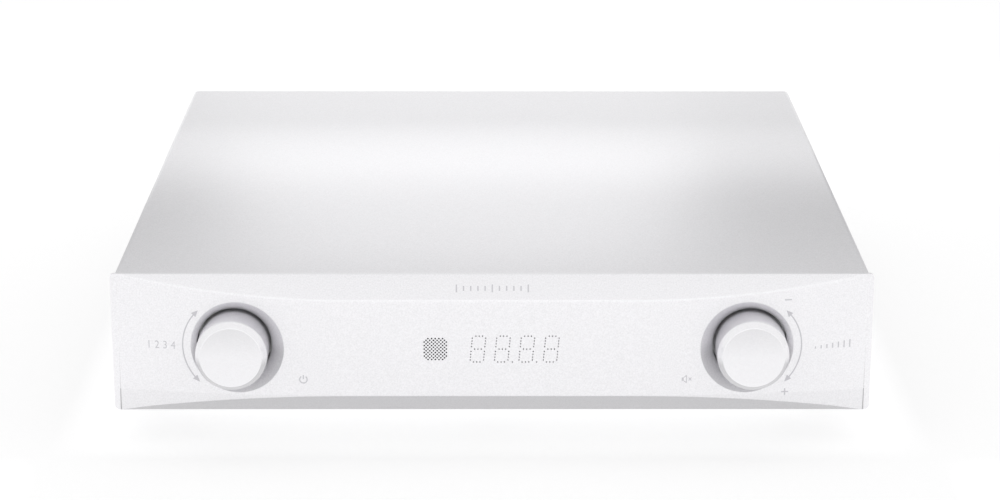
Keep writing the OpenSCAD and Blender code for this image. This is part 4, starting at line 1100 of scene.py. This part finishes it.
def face_marks():
    """Input numbers, a rising scale, turning arrows and small signs round the two knobs."""
    middle = PLATE_H / 2
    marks = [lettering("1 2 3 4", 8.4 * MM, 2.5 * MM, (-101.9 * MM, middle))]
    for k in range(7):
        u, low, tall = (99.8 + k * 1.8) * MM, middle - 1.25 * MM, (0.7 + k * 0.3) * MM
        marks.append(stroke([(u, low), (u, low + tall)], LINE_W))
    for side in (-1, 1):
        centre = (side * KNOB_X, middle)
        facing = 0 if side > 0 else 180
        radius = 15.8 * MM
        marks.append(stroke(arc(centre, radius, facing - 43, facing + 43, 36), LINE_W))
        for end in (-1, 1):
            tip_turn = facing + end * 47
            tip = arc(centre, radius, tip_turn, tip_turn, 1)[0]
            marks.append(arrow_head(tip, tip_turn + end * 86, 2.1 * MM, 1.9 * MM))
    marks += power_icon(-58.2 * MM, 12.2 * MM, 1.15 * MM, LINE_W)
    marks += mute_icon(59.6 * MM, 12.3 * MM, 1.2 * MM, 0.26 * MM)
    return marks + sign(90.8 * MM, 37.2 * MM, False) + sign(90.6 * MM, 7.3 * MM, True)


def level_scale():
    """A plain ruled scale for the middle of the top facet."""
    marks = []
    for k in range(11):
        u = (k - 5) * 2.2 * MM
        tall = 1.9 if k % 5 == 0 else 1.2
        marks.append(stroke([(u, (40.8 - tall / 2) * MM), (u, (40.8 + tall / 2) * MM)], 0.42 * MM))
    return marks


printed("face_print", face_marks(), on_face, ink_finish)
printed("facet_print", level_scale(), on_top_facet, ink_finish)


def back_marks():
    """Generic signs beside the sockets: channel letters, polarity and input numbers."""
    size = 2.4 * MM
    marks = []
    middle = PLATE_H / 2
    for i in range(4):
        lo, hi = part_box(f"post_cap_{i + 1}")
        u = -(lo.x + hi.x) / 2
        above = middle + 12.5 * MM
        marks += sign(u, above, i % 2 == 0)
    jack_lo, jack_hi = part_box("rca_inserts")
    socket_r = 6.2 * MM
    first, last = -(jack_hi.x - socket_r), -(jack_lo.x + socket_r)
    for k in range(3):
        marks.append(lettering(str(3 - k), 0.6 * size, size, (first + k * (last - first) / 2, middle)))
    for letter, v in (("L", jack_hi.z), ("R", jack_lo.z)):
        inward = socket_r if letter == "R" else -socket_r
        marks.append(lettering(letter, 0.7 * size, size, (first - 8.6 * MM + 0.9 * MM, v + inward - PLATE_Z)))
    optic_lo, optic_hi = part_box("optical_sockets")
    centre = -(optic_lo.x + optic_hi.x) / 2
    marks.append(lettering("4", 0.7 * size, size, (centre, middle)))
    return marks


printed("back_print", back_marks(), on_back, rear_ink_finish)


# ---- finishes of the CAD nodes

NODE_FINISHES = {
    bare_finish: ["front_bracket", "heat_spreader", "transformer_plate"],
    bright_screw_finish: ["panel_screws", "transformer_bolt", "encoder_nuts", "post_nuts", "board_fixings",
                          "cover_screws"],
    shaft_finish: ["input_shaft", "volume_shaft"],
    black_finish: ["input_encoder", "volume_encoder", "infrared_receiver", "digit_display",
                   "power_transistors", "output_inductors"],
    white_finish: ["input_plunger", "volume_plunger"],
    glass_finish: ["mains_fuse"],
    copper_finish: ["transformer"],
    pad_finish: ["transformer_pads", "foot_pads"],
    green_finish: ["display_board", "power_board", "amp_board", "input_board"],
    sleeve_finish: ["filter_capacitors"],
    cable_finish: ["ribbon_cable"],
    lead_finish: ["internal_wires"],
    # hidden behind a finished piece, and given the same finish
    plate_finish: ["front_panel"],
    cover_finish: ["top_cover"],
    knob_finish: ["input_knob", "volume_knob"],
    foot_finish: ["feet"],
    black_screw_finish: ["foot_screws"],
}
BY_NODE = {node: finish for finish, nodes in NODE_FINISHES.items() for node in nodes}
BY_NODE.update({node: row[2] for node, row in EASED.items()})
for node, finish in BY_NODE.items():
    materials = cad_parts[node].data.materials
    materials.clear()
    materials.append(finish)


# ---- studio

def studio_floor():
    """A wide pale floor, lit from within, with painted light added under the object that fills its shadow so
    that it stays even.
    """
    mesh = mesh_from([(-4, -4, 0), (4, -4, 0), (4, 6, 0), (-4, 6, 0)], [(0, 1, 2, 3)])
    finish = Finish("pale_floor", Roughness=0.9)
    paper = finish.noise(0.4, detail=2)
    place = finish.add("ShaderNodeSeparateXYZ", sockets={"Vector": finish.place()})
    out_x = abs(place.out("X")) / (HALF_W + 20 * MM)
    out_y = abs(place.out("Y")) / (REAR_Y + 25 * MM)
    under = ((1.0 - out_x ** 6.0) * (1.0 - out_y ** 6.0)).clip() * (1.6 - out_x.math("MAXIMUM", out_y)).clip()
    # Painted light: the emission rises under the object to fill the shadow that the object casts on the
    # floor.
    even_glow_and_painted_fill = under * 0.42 + 0.515
    finish.feed(**{"Base Color": finish.blend(paper, (0.49, 0.49, 0.49), (0.51, 0.51, 0.51)),
                   "Emission Color": finish.add("ShaderNodeCombineColor", sockets={
                       "Red": even_glow_and_painted_fill, "Green": even_glow_and_painted_fill, "Blue": even_glow_and_painted_fill}),
                   "Emission Strength": 1.0})
    mesh.materials.append(finish.material)
    floor = placed("floor", mesh)


def studio_world():
    """White all round, greyer low down behind the object."""
    world = bpy.data.worlds.new("studio")
    world.use_nodes = True
    graph = Graph(world.node_tree)
    background = world.node_tree.nodes["Background"]
    heading = graph.add("ShaderNodeSeparateXYZ", sockets={
        "Vector": graph.add("ShaderNodeTexCoord", out="Generated")})
    behind = heading.out("Y").math("MAXIMUM", 0.0) ** 2.0
    ahead = (heading.out("Y") * -1.0).math("MAXIMUM", 0.0)
    low = 1.0 - abs(heading.out("Z"))
    level = 0.98 + ahead * low ** 3.0 * 0.25 - behind * 0.62
    colour = graph.add("ShaderNodeCombineXYZ", sockets={"X": level, "Y": level, "Z": level})
    world.node_tree.links.new(colour.socket, background.inputs["Color"])
    bpy.context.scene.world = world


def softbox(name, place, aim, size, power):
    """An even rectangular light that the camera doesn't see."""
    light = bpy.data.lights.new(name, "AREA")
    light.shape = "RECTANGLE"
    light.size, light.size_y = size
    light.energy = power
    made = bpy.data.objects.new(name, light)
    made.location = place
    made.rotation_euler = (Vector(aim) - Vector(place)).to_track_quat("-Z", "Y").to_euler()
    made.visible_camera = False
    bpy.context.scene.collection.objects.link(made)


def studio_camera():
    """A long lens in front and above, almost on the middle line."""
    pitch, yaw, roll = math.radians(17.01), 0.0049, -0.0015
    ahead = Vector((math.sin(yaw) * math.cos(pitch), math.cos(yaw) * math.cos(pitch), -math.sin(pitch)))
    level = Vector((math.cos(yaw), -math.sin(yaw), 0))
    upward = level.cross(ahead)
    right = level * math.cos(roll) - upward * math.sin(roll)
    up = level * math.sin(roll) + upward * math.cos(roll)
    lens = bpy.data.cameras.new("camera")
    lens.sensor_width = 36
    lens.lens = 96.58
    lens.clip_start, lens.clip_end = 0.05, 40
    camera = bpy.data.objects.new("camera", lens)
    turn = Matrix((right, up, -ahead)).transposed().to_4x4()
    camera.matrix_world = Matrix.Translation((-1.49 * MM, LIP_Y - 785.5 * MM, PLATE_Z + 292.3 * MM)) @ turn
    bpy.context.scene.collection.objects.link(camera)
    bpy.context.scene.camera = camera


studio_floor()
studio_world()
softbox("low_back_panel", (-0.03, REAR_Y + 0.30, 0.11), (-0.03, 0, 0.06), (0.5, 0.16), 0.15)
softbox("high_back_panel", (-0.02, REAR_Y + 0.45, 0.36), (-0.02, 0, 0.06), (0.3, 0.4), 0.175)
softbox("front_panel_light", (0, -0.95, 0.62), (0, -0.1, 0.03), (0.8, 0.4), 0.28)
studio_camera()
bpy.context.scene.view_settings.view_transform = "Standard"
